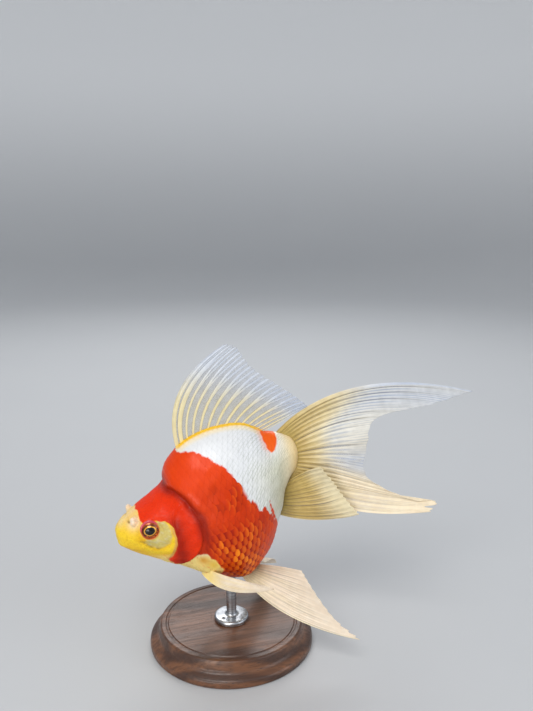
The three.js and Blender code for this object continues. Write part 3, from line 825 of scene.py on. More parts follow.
def make_scales(name, places, material):
    """One piece of coat: solid overlapping plates, each with its own patch of the map."""
    disc = scale_outline()
    count = len(places)
    row, along, angle = places.T
    side = np.where(angle < 0, -1, 1)
    tip, _, onward = body_frame(along, angle)
    run = np.linalg.norm(onward, axis=-1)  # millimetres for each unit of along
    turn_gap = np.gradient(ROW_ANGLES)[row.astype(int)]
    turn_gap = turn_gap * (1 + smooth(along, ROWS_HALVE - 0.01, ROWS_HALVE + 0.02))
    # The first scales of a row are small, so that none reaches over the crease.
    full = SCALE_OVERLAP * scale_pitch(along, angle) * random.uniform(0.96, 1.04, count)
    length = np.minimum(full, 0.85 * from_line(CREASE, mirrored(tip)))
    half_turn = SCALE_WIDTH * turn_gap * (length / full) ** 0.4 * side
    x = disc[:, 0] + random.normal(0, 0.03, count)[:, None] * disc[:, 1]
    y = np.broadcast_to(disc[:, 1], x.shape)
    at_along = along[:, None] + (x - 1) * (length / 2 / run)[:, None]
    plain, normal, _ = body_frame(at_along, angle[:, None] + y * half_turn[:, None])

    # Each scale rises from under the one before to its free edge, and is domed where highlights are painted
    # on it.
    share = scale_presence(plain)
    depth = skin_depth(share)
    rise = 0.5 * (x + 1)
    dome = (1 - 0.8 * y**2) * (1 - 0.6 * x**2)
    glinting = smooth(markings(tip)[1], -0.1, 0.7)[:, None]
    height = (depth + 0.07) * rise**1.1 - 0.06 - 0.04 * share + (0.02 + 0.38 * share * glinting) * dome
    lateral = (row == LATERAL_ROW)[:, None] * hill(y, 0.16) * smooth(x, -0.4, 0.2) * fall(x, 0.7, 0.9)
    height = height + LATERAL_RISE * lateral * share
    # The underside lies 0.06 mm below the top at the root and 0.21 mm at the free edge.
    is_under = np.arange(len(disc)) >= len(disc) - 1 - SCALE_SPOKES
    height = np.where(is_under, height - 0.15 * rise - 0.06, height)
    points = plain + normal * (relief(plain) - depth + height)[..., None]

    flipped = side[-1] < 0
    quads, triangles = (repeated(faces, count, len(disc), flipped) for faces in scale_faces())
    root = np.stack([along - length / run, angle / (2 * math.pi) % 1], -1)[:, None]
    patch = SCALE_MAP / 2 * np.stack([x, y], -1) * np.where(is_under, 0.9, 1)[:, None]
    uv = np.clip(root + patch, 0, 1).reshape(-1, 2)[np.concatenate([quads.ravel(), triangles.ravel()])]

    # A scale of the flank has one colour, so the markings end in steps there and run freely elsewhere.
    seen, _, _ = body_frame(along - 0.3 * length / run, angle)
    own = 0.75 * smooth(scale_presence(seen), 0.4, 0.9) * fall(seen[:, 0], 49, 53)
    colour, glint = markings(plain + (seen[:, None] - plain) * own[:, None, None])
    tone = np.broadcast_to(random.uniform(0, 1, count)[:, None], x.shape)
    piece = add_mesh(
        name, placed(points).reshape(-1, 3), quads, triangles, uv, colour,
        Shine=glint * np.sqrt(share),
        Lined=0.15 + 0.85 * smooth(plain[..., 0] - 0.5 * plain[..., 1], 32, 48),
        ScaleAt=np.stack([x, y, tone], -1),
    )
    finish_piece(piece, material, "skin")


def make_coat():
    material = scale_material()
    for name, side in SIDES:
        places = scale_places(side)
        upper = places[:, 0] <= SCALE_ROWS / 2
        make_scales(f"scales_upper_{name}", places[upper], material)
        make_scales(f"scales_lower_{name}", places[~upper], material)


# ---------------------------------------------------------------- eyes
EYE_RINGS = 72
EYE_SINK = 0.08  # how far the iris's clear cover lies within the ball
LENS_SINK = 0.03  # the same in the middle of the pupil
OUT_OF_SIGHT = 3  # stands for any distance from the iris's middle on the ball's back
EYE_SEGMENTS = 96
LID_SEGMENTS = 96
LID_TUBE = 20
PUPIL = (1.86, 1.46)  # half width and half height of the pupil
IRIS_FLECK = srgb(226, 112, 22)
LID_RUST = srgb(196, 92, 24)
LID_GOLD = srgb(232, 190, 70)
LID_PINK = srgb(204, 66, 84)

# The eye's colours, each with its distance from the middle as a share of IRIS_REACH, in widths of the pupil.
IRIS_REACH = 2.2
IRIS_COLOURS = (
    (0, srgb(6, 5, 6)), (0.445, srgb(9, 6, 6)), (0.475, srgb(196, 128, 30)), (0.505, srgb(252, 206, 70)),
    (0.56, srgb(224, 150, 36)), (0.61, srgb(96, 44, 12)), (0.7, srgb(48, 20, 8)), (0.84, srgb(150, 62, 14)),
    (0.94, srgb(214, 112, 30)),
)


def eye_points(side, ahead, back, up):
    """Points as measured from the middle of an eye: ahead along its gaze, back towards the tail, and up."""
    gaze = GAZE * (1, 1, side)
    level = unit(np.cross((0, 1, 0), gaze)) * side
    upright = unit(np.cross(gaze, level)) * side
    return EYE * (1, 1, side) + ahead[..., None] * gaze + back[..., None] * level + up[..., None] * upright


def eye_material():
    """Pupil, thin gold ring and dark mottled iris. IrisAt holds a point's place in the iris, with the pupil's
    edge at 1, and its distance from the middle in widths of the pupil."""
    n = Nodes("eye")
    at = n.attribute("IrisAt", "Vector")
    back, up, ring = n.split(at)
    mottle = n.give("ShaderNodeTexNoise", {"Vector": at, "Scale": 2.6, "Detail": 4, "Distortion": 0.6})
    wobble = (mottle - 0.5) * 0.16 + ring
    ramp = n.add("ShaderNodeValToRGB", {0: n.maths("DIVIDE", wobble, IRIS_REACH)})
    elements = ramp.color_ramp.elements
    while len(elements) < len(IRIS_COLOURS):
        elements.new(0.5)
    for element, (where, colour) in zip(elements, IRIS_COLOURS):
        element.position = where
        element.color = (*colour, 1)
    # Orange flecks, thicker below and towards the tail.
    lower = n.step(back * 0.5 + up * -1, -0.6, 1.6)
    flecks = n.step(mottle, 0.47, 0.55) * n.step(lower, 0, 1, 0.25, 1) * n.step(ring, 1.25, 1.4)
    return n.surface(
        Base_Color=n.mix(flecks, Value(n, ramp.outputs[0]), IRIS_FLECK), Roughness=0.3,
        Metallic=n.step(ring, 1, 1.1, 0, 0.4), Normal=n.bump(mottle, 0.05), Specular_IOR_Level=0.2,
        Coat_Weight=1, Coat_IOR=1.38, Coat_Roughness=0.02,
    )


def lid_material():
    n = Nodes("eye_lid")
    stain = n.step(n.noise(0.8), 0.4, 0.7, 0, 0.25)
    colour = n.mix(stain, n.attribute("Marking", "Color"), (0.2, 0.05, 0.03), "MULTIPLY")
    return n.surface(
        Base_Color=colour, Roughness=0.3, Normal=n.bump(n.noise(0.4), 0.04), Coat_Weight=0.5,
        Coat_Roughness=0.1,
    )


def make_eyeball(name, side, material):
    tilt, turn = grid(math.pi * (np.arange(1, EYE_RINGS) / EYE_RINGS) ** 1.4, turns(EYE_SEGMENTS))
    back, up = np.sin(tilt) * np.cos(turn), np.sin(tilt) * np.sin(turn)
    iris_back, iris_up = back * EYE_RADIUS / PUPIL[0], up * EYE_RADIUS / PUPIL[1]
    ring = np.hypot(iris_back, iris_up)
    front = tilt < math.pi / 2
    # The lens stands a little proud and the iris lies in a shallow dish round it.
    dish = np.where(front, -0.12 * hill(ring - 1.45, 0.35) + 0.05 * fall(ring, 0.8, 1.1), 0)
    radius = EYE_RADIUS - EYE_SINK + dish
    points = eye_points(side, radius * np.cos(tilt), radius * back, radius * up)
    poles = eye_points(side, np.array([EYE_RADIUS - LENS_SINK, -EYE_RADIUS]), np.zeros(2), np.zeros(2))
    quads, triangles = capped(EYE_RINGS - 1, EYE_SEGMENTS)
    if side > 0:
        quads, triangles = quads[:, ::-1], triangles[:, ::-1]
    iris_at = np.stack([iris_back, iris_up, np.where(front, ring, OUT_OF_SIGHT)], -1).reshape(-1, 3)
    points = np.vstack([points.reshape(-1, 3), poles])
    iris_at = np.vstack([iris_at, [[0, 0, 0], [0, 0, OUT_OF_SIGHT]]])
    piece = add_mesh(f"eyeball_{name}", placed(points), quads, triangles, IrisAt=iris_at)
    finish_piece(piece, material, "eye", f"eye_{name}")


def make_lid(name, side, material):
    """The soft fold of skin round the eye, thicker and pink above."""
    turn, bend = grid(turns(LID_SEGMENTS), turns(LID_TUBE))
    above = 0.5 + 0.5 * np.sin(turn - 0.25)
    thick = 0.2 + 0.2 * above**2 + 0.025 * np.sin(5 * turn + 1)
    away = EYE_OPENING + 0.22 + 1.25 * thick * np.cos(bend)
    ahead = EYE_RIM - 0.02 + 0.85 * thick * np.sin(bend)
    points = eye_points(side, ahead, away * np.cos(turn), away * np.sin(turn))
    quads = grid_quads(LID_SEGMENTS, LID_TUBE, closed=True, looped=True)
    if side < 0:
        quads = quads[:, ::-1]
    outer, upper = smooth(np.cos(bend), -0.1, 0.6), smooth(above, 0.5, 0.8)
    colour = paint(LID_RUST, (LID_GOLD, outer), (LID_PINK, upper))
    piece = add_mesh(f"eyelid_{name}", placed(points).reshape(-1, 3), quads, colour=colour)
    finish_piece(piece, material, "skin")


def make_eyes():
    material, rim_material = eye_material(), lid_material()
    for name, side in SIDES:
        make_eyeball(name, side, material)
        make_lid(name, side, rim_material)


# ---------------------------------------------------------------- fins
# Each ray is a quadratic curve from its root, by a control point, to its tip, as [s, h, w], as in the CAD.
DORSAL_RAYS = [
    [[29.2, 24, 0], [26.3, 51, 0], [55.4, 60.8, 0]],
    [[34, 26.5, 0], [33.6, 47, 0.4], [59.7, 58.4, 0.6]],
    [[42, 28.5, 0], [47, 43, 0.8], [63.9, 49.3, 1.4]],
    [[52, 28, 0], [59, 36, 0.6], [73.5, 39.5, 1.6]],
    [[59.5, 25.5, 0], [68, 29, 0], [82, 30, 0.8]],
    [[63, 22.6, 0], [71, 24.5, 0], [83.2, 27.8, 0]],
]
TAIL_RAYS = [
    [[69.5, 20.2, 0.7], [101.5, 40.9, 0.8], [156, 14.6, 1]],
    [[71.3, 18.1, 1.1], [98.3, 31.7, 2.6], [136.1, 15.6, 4.5]],
    [[73.2, 14.3, 1.3], [90.4, 21.1, 4], [109.3, 18.3, 8]],
    [[73.8, 10.5, 1.5], [89, 11.5, 6], [101.9, 10, 12]],
    [[73.2, 6.8, 1.6], [88, 4.5, 9], [97.9, -1, 17]],
    [[71.3, 4, 1.8], [90.4, -3, 13], [111.4, -12, 24]],
    [[70, 3, 1.9], [90, -6.5, 14], [120.8, -14.5, 27]],
    [[69, 2, 2], [83.7, -18.7, 13], [117.3, -17.3, 28]],
]
TAIL_FORK = 3.6 / (len(TAIL_RAYS) - 1)  # where the two lobes part, across the rays
RIGHT_LOBE_SHORTER = 7  # how much nearer the body the right lower lobe's margin lies
RIDGE_STEPS = 7  # rows of points over the ridge where the tail's halves meet
ANAL_RAYS = [
    [[62.5, -12.4, 1.5], [77, -19.4, 9], [91.5, -14.3, 18]],
    [[64.5, -9.5, 1.5], [75, -12, 9], [87.5, -7, 17]],
    [[65.8, -5.5, 1.5], [75, -3, 9], [84, 0.5, 15.5]],
    [[67.5, -1, 1.5], [72, 4.5, 7], [80, 8.1, 14]],
]
PELVIC_RAYS = {
    "left": [
        [[43, -31.5, 6.5], [50.3, -47, 22], [78.5, -57, 34]],
        [[45, -30.8, 6.5], [54, -39, 18], [71, -47.5, 30]],
        [[47, -30, 6], [56, -32, 16], [65.8, -35.5, 26]],
        [[49, -28.5, 5.5], [54, -26.7, 13], [63.4, -27.7, 22]],
    ],
    "right": [
        [[43, -31.5, 6.5], [50, -43, 20], [67.5, -55.7, 34]],
        [[45, -30.8, 6.5], [53, -39, 16], [65.6, -50, 27]],
        [[47, -30, 6], [53, -35.5, 12], [62.2, -44.7, 20]],
        [[49, -28.5, 5.5], [52, -33, 9], [57.5, -41, 13]],
    ],
}
PECTORAL_RAYS = [
    [[28, -23.5, 11], [33, -31, 20], [49.5, -25.5, 31]],
    [[28.5, -21.5, 12], [34, -25.5, 20], [48.5, -24.8, 31]],
    [[29, -19.5, 13], [34, -21.7, 19], [45.5, -23.6, 29]],
]

RAY_CREAM = srgb(230, 216, 168)
FIN_GOLD = srgb(202, 174, 106)
FIN_OLIVE = srgb(176, 151, 84)
FIN_TAN = srgb(208, 192, 152)
FIN_CREAM = srgb(236, 222, 182)
FIN_PEACH = srgb(246, 228, 204)
FIN_BLUE = srgb(160, 180, 216)
FIN_WHITE = srgb(206, 213, 224)
# The dark grey below darkens the dorsal fin's web between its rays, and paints shade into the folds of the
# other fins.
STREAK = srgb(88, 84, 88)
BASE_YELLOW = srgb(246, 202, 40)
RAY_COVER = 0.96  # how opaque the rays are
WEB_HALF = 0.06  # half the thickness of the web between them
WEAR_STEPS = 40  # places along a margin where its wear changes


def fin_grid(across_steps, out_steps):
    """Places over a fin: across its rays, and out from a root that starts a little inside the body."""
    return grid(np.linspace(0, 1, across_steps), np.linspace(-0.06, 1, out_steps))


def fin_points(rays, across, out):
    """Points of a fin's middle surface. across runs over its rays from 0 to 1, out from root to tip."""
    row = rows_at(np.reshape(rays, (len(rays), 9)).astype(float), across * (len(rays) - 1))
    root, bend, tip = np.split(row, 3, axis=-1)
    t = out[..., None]
    return (1 - t) ** 2 * root + 2 * t * (1 - t) * bend + t**2 * tip


def grid_normal(points):
    return unit(np.cross(np.gradient(points, axis=0), np.gradient(points, axis=1)))


def pleated(middle, across, out, rays, depth):
    """Sets the rays a little to one side of the membrane between them."""
    pleat = depth * np.cos(2 * math.pi * across * (rays - 1)) * smooth(out, 0, 0.15)
    return middle + grid_normal(middle) * pleat[..., None]


def nearest_ray(across, out, rays, splits, spread):
    """Distance to the nearest branch of a ray, in gaps between rays. Each ray forks where splits say, and its
    branches fan out to share the margin evenly."""
    gap = 1 / (rays - 1)
    branches = [np.zeros(out.shape)]
    for fork, split in enumerate(splits):
        fan = gap / 4 / 2**fork * smooth(out, split, split + spread)
        branches = [branch + sign * fan for branch in branches for sign in (-1, 1)]
    nearest = np.full(across.shape, 9.0)
    for k in range(rays):
        for branch in branches:
            nearest = np.minimum(nearest, np.abs(across - k * gap - branch) / gap)
    return nearest


def ray_tone(across, rays, seed):
    """A value between 0 and 1 for each ray, carried across the fin."""
    tones = np.random.default_rng(seed).uniform(0, 1, rays)
    return np.interp(across * (rays - 1), np.arange(rays), tones)


def fold_shade_lines(across, out, rays, seed):
    """Painted shade in thin dark lines along the membrane's folds between rays, some strong and some faint.
    """
    place = across * (rays - 1)
    strength = np.random.default_rng(seed).uniform(0.1, 1, rays) ** 1.5
    strength = strength[np.clip(np.floor(place).astype(int), 0, rays - 1)]
    line = fall(np.abs(place % 1 - 0.5), 0.05, 0.16)
    return line * strength * smooth(out, 0.02, 0.12) * fall(out, 0.75, 1)


def ragged(across, rays, depth, seed):
    """How far out the margin reaches at each ray: soft notches between the rays, and some wear."""
    wear = np.random.default_rng(seed).uniform(0, 1, WEAR_STEPS)
    notch = 0.5 - 0.5 * np.cos(2 * math.pi * across * (rays - 1))
    torn = np.interp(across, np.linspace(0, 1, WEAR_STEPS), wear)
    return 1 - depth * (notch * 0.7 + torn * 0.6)


def fin_mesh(name, middle, half, cover, colour, material, *nodes):
    """A thin closed solid on a grid of middle points, half as thick each way as half says."""
    rows, columns = half.shape
    offset = grid_normal(middle) * half[..., None]
    points = np.stack([middle + offset, middle - offset]).reshape(-1, 3)
    quads = grid_quads(rows, columns)
    number = np.arange(rows * columns).reshape(rows, columns)
    edge = np.concatenate([number[0], number[1:, -1], number[-1, -2::-1], number[-2:0:-1, 0]])
    after = np.roll(edge, -1)
    back = rows * columns
    # The front's quads turn one way round and the back's the other.
    faces = np.vstack([quads[:, ::-1], quads + back, np.stack([edge, after, after + back, edge + back], -1)])
    half_map = grid_uv(rows - 1, columns - 1, (0.01, 0.01), (0.48, 0.98))
    rim_map = grid_uv(1, len(edge), (0.985, 0.01), (0.995, 0.98))
    uv = np.concatenate([half_map[:, ::-1], half_map + (0.49, 0), rim_map]).reshape(-1, 2)
    colour = np.tile(colour.reshape(-1, 3), (2, 1))
    cover = np.tile(np.clip(cover, 0, 1).ravel(), 2)
    piece = add_mesh(name, placed(points), faces, uv=uv, colour=colour, Cover=cover)
    finish_piece(piece, material, "fin", *nodes)


def make_dorsal(material):
    rays = 16
    across, out = fin_grid(rays * 16, 100)
    middle = fin_points(DORSAL_RAYS, across, out * ragged(across, rays, 0.02, 1))
    middle = pleated(middle, across, out, rays, 0.08)
    fine = fall(nearest_ray(across, out, rays, (0.42,), 0.5), 0.09, 0.2 - 0.06 * smooth(out, 0.4, 0.9))
    spine = fall(across, 0.055, 0.08)
    second = fall(np.abs(across - 0.125), 0.018, 0.034) * fall(out, 0.8, 0.95)
    solid = np.maximum(np.maximum(fine, second), spine)
    foot = fall(out, 0.02, 0.07)
    half = WEB_HALF + solid * (0.17 - 0.1 * out) + 0.1 * spine * (1 - 0.6 * out)
    colour = paint(
        RAY_CREAM,
        (FIN_WHITE, smooth(out, 0.35, 0.85)),
        (STREAK, 0.55 * (1 - solid) * (1 - 0.5 * smooth(out, 0.6, 1))),
        (FIN_BLUE, 0.35 * smooth(out, 0.5, 1) * smooth(across, 0.5, 0.9)),
        (BASE_YELLOW, foot),
    )
    cover = 0.2 + 0.72 * solid * (1 - 0.3 * smooth(out, 0.7, 1)) + 0.6 * foot
    fin_mesh("dorsal_fin", middle, half, cover, colour, material, "fin_dorsal")


def tail_half(side, across, out, rays):
    table = np.array(TAIL_RAYS, float)
    if side < 0:
        lower = np.arange(len(table)) / (len(table) - 1) > TAIL_FORK
        table[lower, 2, 0] -= RIGHT_LOBE_SHORTER
    points = pleated(fin_points(table, across, out), across, out, rays, 0.14)
    points[..., 2] += 0.45 * np.sin(8 * out + 5 * across) * smooth(out, 0.3, 1) * smooth(across, 0.05, 0.3)
    return points * (1, 1, side)


def make_tail(material):
    rays = 21
    across, out = fin_grid(rays * 11, 140)
    margin = ragged(across, rays, 0.012, 2) - 0.05 * hill(across - 0.93, 0.012)
    margin = margin - 0.02 * hill(across - TAIL_FORK, 0.14) * (0.5 + 0.5 * np.sin(90 * across))
    fine = fall(nearest_ray(across, out, rays, (0.2, 0.5), 0.35), 0.06, 0.16)
    edge_ray = np.maximum(hill(across, 0.016), hill(across - 1, 0.012))
    ray = np.maximum(fine, edge_ray)
    shaded_folds = fold_shade_lines(across, out, rays, 21)
    tone = ray_tone(across, rays, 22)
    upper = fall(across, TAIL_FORK - 0.16, TAIL_FORK)
    lower = smooth(across, TAIL_FORK, TAIL_FORK + 0.16)
    middle_web = (1 - upper) * (1 - lower)
    half = WEB_HALF + 0.1 * ray * (1 - 0.7 * out) + 0.12 * edge_ray * (1 - 0.75 * out)
    colour = paint(
        FIN_OLIVE,
        (FIN_GOLD, smooth(out, 0, 0.16) * (0.4 + 0.6 * tone)),
        (FIN_CREAM, smooth(out, 0.1, 0.5) * (0.45 + 0.55 * tone)),
        (FIN_WHITE, 0.85 * upper * smooth(out, 0.3, 0.6)),
        (FIN_BLUE, 0.75 * upper * smooth(out, 0.4, 0.75) * hill(across - 0.1, 0.12)),
        (FIN_BLUE, 0.9 * middle_web * smooth(out, 0.25, 0.8)),
        (FIN_PEACH, 0.85 * lower * smooth(out, 0.25, 0.65)),
        # painted shade in the membrane's folds, fainter on the lower lobe
        (STREAK, 0.7 * shaded_folds * (1 - 0.8 * lower * smooth(out, 0.15, 0.45))),
        (FIN_CREAM, 0.35 * fine * smooth(out, 0.05, 0.25)),
    )
    web = 0.86 - 0.34 * smooth(out, 0.2, 0.7) * (1 - 0.5 * lower) - 0.32 * middle_web * smooth(out, 0.25, 0.8)
    cover = web + (RAY_COVER - web) * ray * (1 - 0.5 * middle_web * smooth(out, 0.5, 1)) - 0.15 * shaded_folds

    # The halves meet along the top in a rounded ridge.
    left, right = (tail_half(side, across, out * margin, rays) for _, side in SIDES)
    centre, reach = (left[0] + right[0]) / 2, (left[0] - right[0]) / 2
    rise = unit((left[0] - left[3]) * (1, 1, 0)) * np.linalg.norm(reach, axis=-1, keepdims=True)
    over = np.linspace(-math.pi / 2, math.pi / 2, RIDGE_STEPS + 2)[1:-1]
    ridge = [centre - reach * math.sin(t) + rise * math.cos(t) for t in over]

    def whole(values):
        """A half's values for the left half, the ridge and the right half."""
        return np.concatenate([values[::-1], np.repeat(values[:1], RIDGE_STEPS, axis=0), values])

    middle = np.concatenate([left[::-1], ridge, right])
    nodes = [f"fin_tail_{part}_{name}" for part in ("upper", "lower") for name, _ in SIDES]
    fin_mesh("tail_fin", middle, whole(half), whole(cover), whole(colour), material, *nodes)


def make_side_fin(kind, name, side, table, rays, forks, wave, pleat, colours, webs, fold_shade_strength, material):
    """One of a pair of fins. colours run from root to tip, and webs say how opaque the web is at each end."""
    across, out = fin_grid(rays * 12, 90)
    middle = fin_points(table, across, out * ragged(across, rays, 0.02, rays + side))
    middle = pleated(middle, across, out, rays, pleat)
    middle[..., 2] += wave * np.sin(7 * out + 6 * across + side) * smooth(out, 0.2, 1)
    middle = middle * (1, 1, side)
    lead = hill(across, 0.03)
    ray = np.maximum(fall(nearest_ray(across, out, rays, forks, 0.3), 0.08, 0.2), lead)
    shaded_folds = fold_shade_lines(across, out, rays, rays + 5)
    tone = ray_tone(across, rays, rays + 9)
    half = WEB_HALF + 0.11 * ray * (1 - 0.6 * out) + 0.12 * lead * (1 - 0.7 * out)
    root, outer, tip = colours
    colour = paint(
        root,
        (outer, smooth(out, 0.05, 0.45) * (0.6 + 0.4 * tone)),
        (tip, smooth(out, 0.5, 0.95)),
        # painted shade in the membrane's folds
        (STREAK, fold_shade_strength * shaded_folds),
        (FIN_CREAM, 0.8 * lead),
    )
    web = webs[0] + (webs[1] - webs[0]) * smooth(out, 0, 1)
    cover = web + (RAY_COVER - web) * ray * (1 - 0.3 * out) - 0.1 * shaded_folds
    fin_mesh(f"{kind}_fin_{name}", middle, half, cover, colour, material, f"fin_{kind}_{name}")


def make_fins():
    material = fin_material()
    make_dorsal(material)
    make_tail(material)
    for name, side in SIDES:
        make_side_fin("anal", name, side, ANAL_RAYS, 13, (0.25, 0.6), 0.5, 0.08,
                      (FIN_OLIVE, FIN_GOLD, FIN_CREAM), (0.88, 0.7), 0.6, material)
        make_side_fin("pelvic", name, side, PELVIC_RAYS[name], 12, (0.3, 0.6), 0.3, 0.03,
                      (FIN_TAN, FIN_PEACH, FIN_PEACH), (0.9, 0.72), 0.4, material)
        make_side_fin("pectoral", name, side, PECTORAL_RAYS, 12, (0.4,), 0.15, 0.02,
                      (THROAT, FIN_PEACH, FIN_PEACH), (0.95, 0.82), 0.08, material)


# ---------------------------------------------------------------- the stand
WALNUT_DARK, WALNUT_PALE = srgb(70, 42, 26), srgb(118, 76, 48)
WALNUT_STREAK, WALNUT_PORE = srgb(52, 30, 20), srgb(30, 17, 11)
STEEL_DARK, STEEL_PALE = srgb(150, 153, 158), srgb(205, 208, 212)
ROD_RADIUS = 2
SCREW = [(0, 0), (0.78, 0), (0.78, 0.1), (0.6, 0.3), (0.34, 0.36), (0.3, 0.12), (0, 0.12)]  # a screw's head


def walnut():
    """Walnut with its grain along X: rings cut by a plank, fibre streaks and open pores."""
    n = Nodes("stand_walnut")
    _, y, z = n.split(n.place())
    rings = n.maths("SINE", z * 900 + y * 160 + n.noise(30, 2, (0.3, 1, 1)) * 26)
    fold_shade_strength = n.noise(1.2, 4, (0.06, 1, 1))
    pores = n.noise(0.45, 2, (0.08, 1, 1))
    colour = n.mix(n.step(rings, -1, 1), WALNUT_DARK, WALNUT_PALE)
    colour = n.mix(n.step(fold_shade_strength, 0.35, 0.7, 0, 0.6), colour, WALNUT_STREAK)
    colour = n.mix(n.step(pores, 0.6, 0.72, 0, 0.75), colour, WALNUT_PORE)
    return n.surface(
        Base_Color=colour, Roughness=n.step(fold_shade_strength, 0.3, 0.7, 0.36, 0.5),
        Normal=n.bump(n.step(pores, 0.55, 0.72, 1, 0), 0.05), Coat_Weight=0.25, Coat_Roughness=0.22,
    )


def steel():
    """Turned steel: fine rings of brushing round the rod."""
    n = Nodes("stand_steel")
    brushed = n.noise(0.25, 3, (0.05, 0.05, 1))
    return n.surface(
        Base_Color=n.mix(n.step(brushed, 0.3, 0.7), STEEL_DARK, STEEL_PALE), Metallic=1,
        Roughness=n.step(n.noise(6), 0.3, 0.7, 0.24, 0.36), Normal=n.bump(brushed, 0.01),
    )


def turned(profile, segments):
    """Points and quads of a profile of radius and height turned about Z."""
    radius, height = np.array(profile, float).T[..., None]
    turn = turns(segments)
    points = np.stack([radius * np.cos(turn), radius * np.sin(turn), height + 0 * turn], -1)
    return points.reshape(-1, 3), grid_quads(len(profile), segments, closed=True)


def round_point(radius, degrees):
    return radius * math.cos(math.radians(degrees)), radius * math.sin(math.radians(degrees))


def arc(centre, radius, start, end, steps=6):
    """Points of a profile round a centre, from one angle to another in degrees."""
    return [tuple(np.add(centre, round_point(radius, a))) for a in np.linspace(start, end, steps)]


def stand_mesh(name, shapes, material, slot, node):
    """One crisp-edged piece of turned shapes, in millimetres."""
    points, quads, count = [], [], 0
    for shape_points, shape_quads in shapes:
        points.append(shape_points)
        quads.append(shape_quads + count)
        count += len(shape_points)
    piece = add_mesh(name, np.vstack(points) * MM, np.vstack(quads))
    crisp = piece.modifiers.new("crisp", "EDGE_SPLIT")
    crisp.split_angle = math.radians(38)
    finish_piece(piece, material, slot, node)


def make_stand():
    low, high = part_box("stand_base")
    radius, top = (high.x - low.x) / 2 / MM, high.z / MM
    foot, bead = 0.8, 1.7
    profile = [
        (0, 0), (0.01, 0), (radius - foot, 0),
        *arc((radius - foot, foot), foot, -90, 0),
        *arc((radius - bead, 3.7 - bead), bead, 0, 62, 8),
        *arc((radius - 1.1, 6.3), 2.3, 248, 180, 8),
        *arc((radius - 5, top - 1), 1, 8, 90, 6),
        (radius - 6.2, top), (radius - 6.6, top - 0.35), (radius - 7.2, top - 0.35), (radius - 7.6, top),
        (0.01, top), (0, top),
    ]
    stand_mesh("stand_base_turned", [turned(profile, 128)], walnut(), "stand_wood", "stand_base")

    low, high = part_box("stand_rod")
    flange, rod_top = (high.x - low.x) / 2 / MM, high.z / MM
    profile = [
        (0, top), (flange - 0.3, top), (flange, top + 0.3), (flange, top + 1.1),
        *arc((flange - 0.9, top + 1.1), 0.9, 0, 90),
        (ROD_RADIUS + 1.4, top + 2),
        *arc((ROD_RADIUS + 1, top + 3), 1, 270, 180),
        (ROD_RADIUS, rod_top - 0.6), (ROD_RADIUS - 0.6, rod_top), (0, rod_top),
    ]
    shapes = [turned(profile, 72)]
    for degrees in (90, 210, 330):
        points, quads = turned(SCREW, 24)
        shapes.append((points + (*round_point(0.66 * flange, degrees), top + 1.95), quads))
    stand_mesh("stand_rod_turned", shapes, steel(), "stand_steel", "stand_rod")


# ---------------------------------------------------------------- studio
FLOOR_RADIUS = 0.9  # flat part of the floor, in metres
BOWL_RADIUS = 0.7  # radius of its upturned edge
BOWL_HEIGHT = 1.2
FLOOR_DROP = 1e-5  # how far the floor lies under the stand
PAPER_DARK, PAPER_PALE, WALL = srgb(188, 190, 193), srgb(191, 193, 195), srgb(246, 247, 248)

LAMPS = (  # name, place, width and height, watts, colour
    ("key", (-0.35, -0.45, 0.75), (0.5, 0.35), 3.9, (1, 0.97, 0.93)),
    ("fill", (0.6, -0.5, 0.35), (0.6, 0.6), 1.8, (0.93, 0.96, 1)),
    ("low", (-0.45, -0.5, 0.1), (0.4, 0.16), 1.35, (1, 0.98, 0.95)),
    ("back", (0.15, 0.6, 0.6), (0.6, 0.3), 2.6, (1, 1, 1)),
)
LAMPS_AIM = Vector((0, 0, 0.06))
WORLD_COLOUR, WORLD_STRENGTH = (0.9, 0.94, 1, 1), 0.47

CAMERA_AZIMUTH = math.radians(-18)  # turned this far from looking along +Y
CAMERA_ELEVATION = math.radians(13)
CAMERA_FROM_SNOUT = Vector((-26.26, -265.95, 128.28)) * MM
FRAME_SIZE = 36  # height of the camera's frame, in millimetres
LENS = 37.975  # its focal length


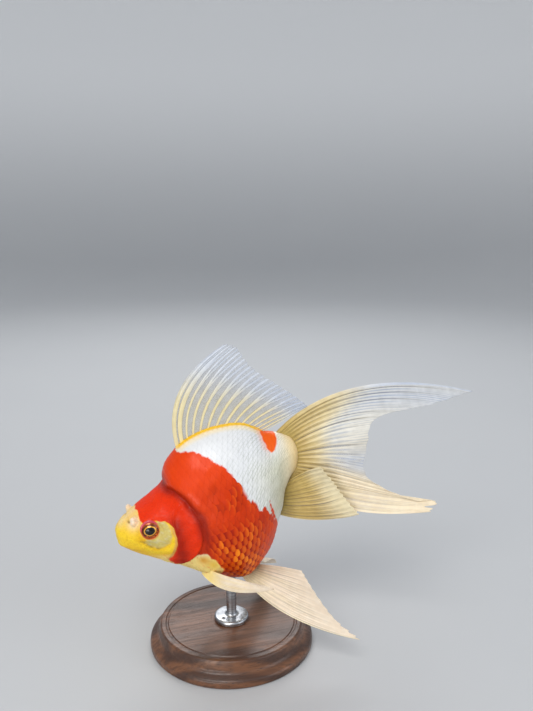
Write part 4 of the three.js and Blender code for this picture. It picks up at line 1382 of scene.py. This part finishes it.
def make_floor():
    """A plain pale floor that turns up into a wall all round."""
    profile = [(FLOOR_RADIUS * k / 6, 0) for k in range(6)]
    profile += arc((FLOOR_RADIUS, BOWL_RADIUS), BOWL_RADIUS, 270, 360, 24)
    profile += [(FLOOR_RADIUS + BOWL_RADIUS, BOWL_HEIGHT)]
    points, quads = turned(profile, 96)
    floor = add_mesh("floor", points - (0, 0, FLOOR_DROP), quads[:, ::-1])
    n = Nodes("studio_paper")
    height = n.split(n.place())[2]
    colour = n.mix(n.noise(120), PAPER_DARK, PAPER_PALE)
    colour = n.mix(n.step(height, 0, 0.45), colour, WALL)
    floor.data.materials.append(n.surface(Base_Color=colour, Roughness=0.85, Specular_IOR_Level=0.2))


def make_studio():
    world = bpy.data.worlds.new("world")
    world.use_nodes = True
    background = world.node_tree.nodes["Background"].inputs
    background[0].default_value = WORLD_COLOUR
    background[1].default_value = WORLD_STRENGTH
    scene.world = world
    scene.view_settings.view_transform = "Standard"
    for name, place, size, power, colour in LAMPS:
        lamp = bpy.data.lights.new(name, "AREA")
        lamp.shape = "RECTANGLE"
        lamp.size, lamp.size_y = size
        lamp.energy = power
        lamp.color = colour
        holder = bpy.data.objects.new(name, lamp)
        holder.location = place
        holder.rotation_euler = (LAMPS_AIM - Vector(place)).to_track_quat("-Z", "Y").to_euler()
        scene.collection.objects.link(holder)
    make_floor()


def make_camera():
    camera = bpy.data.cameras.new("camera")
    camera.sensor_width = FRAME_SIZE
    camera.lens = LENS
    camera.clip_start, camera.clip_end = 0.01, 10
    holder = bpy.data.objects.new("camera", camera)
    holder.location = Vector(SNOUT * MM) + CAMERA_FROM_SNOUT
    a, e = CAMERA_AZIMUTH, CAMERA_ELEVATION
    back = Vector((math.sin(a) * math.cos(e), -math.cos(a) * math.cos(e), math.sin(e)))
    holder.rotation_mode = "QUATERNION"
    holder.rotation_quaternion = back.to_track_quat("Z", "Y")
    scene.collection.objects.link(holder)
    scene.camera = holder


make_camera()
make_studio()
make_skin()
make_coat()
make_eyes()
make_fins()
make_stand()
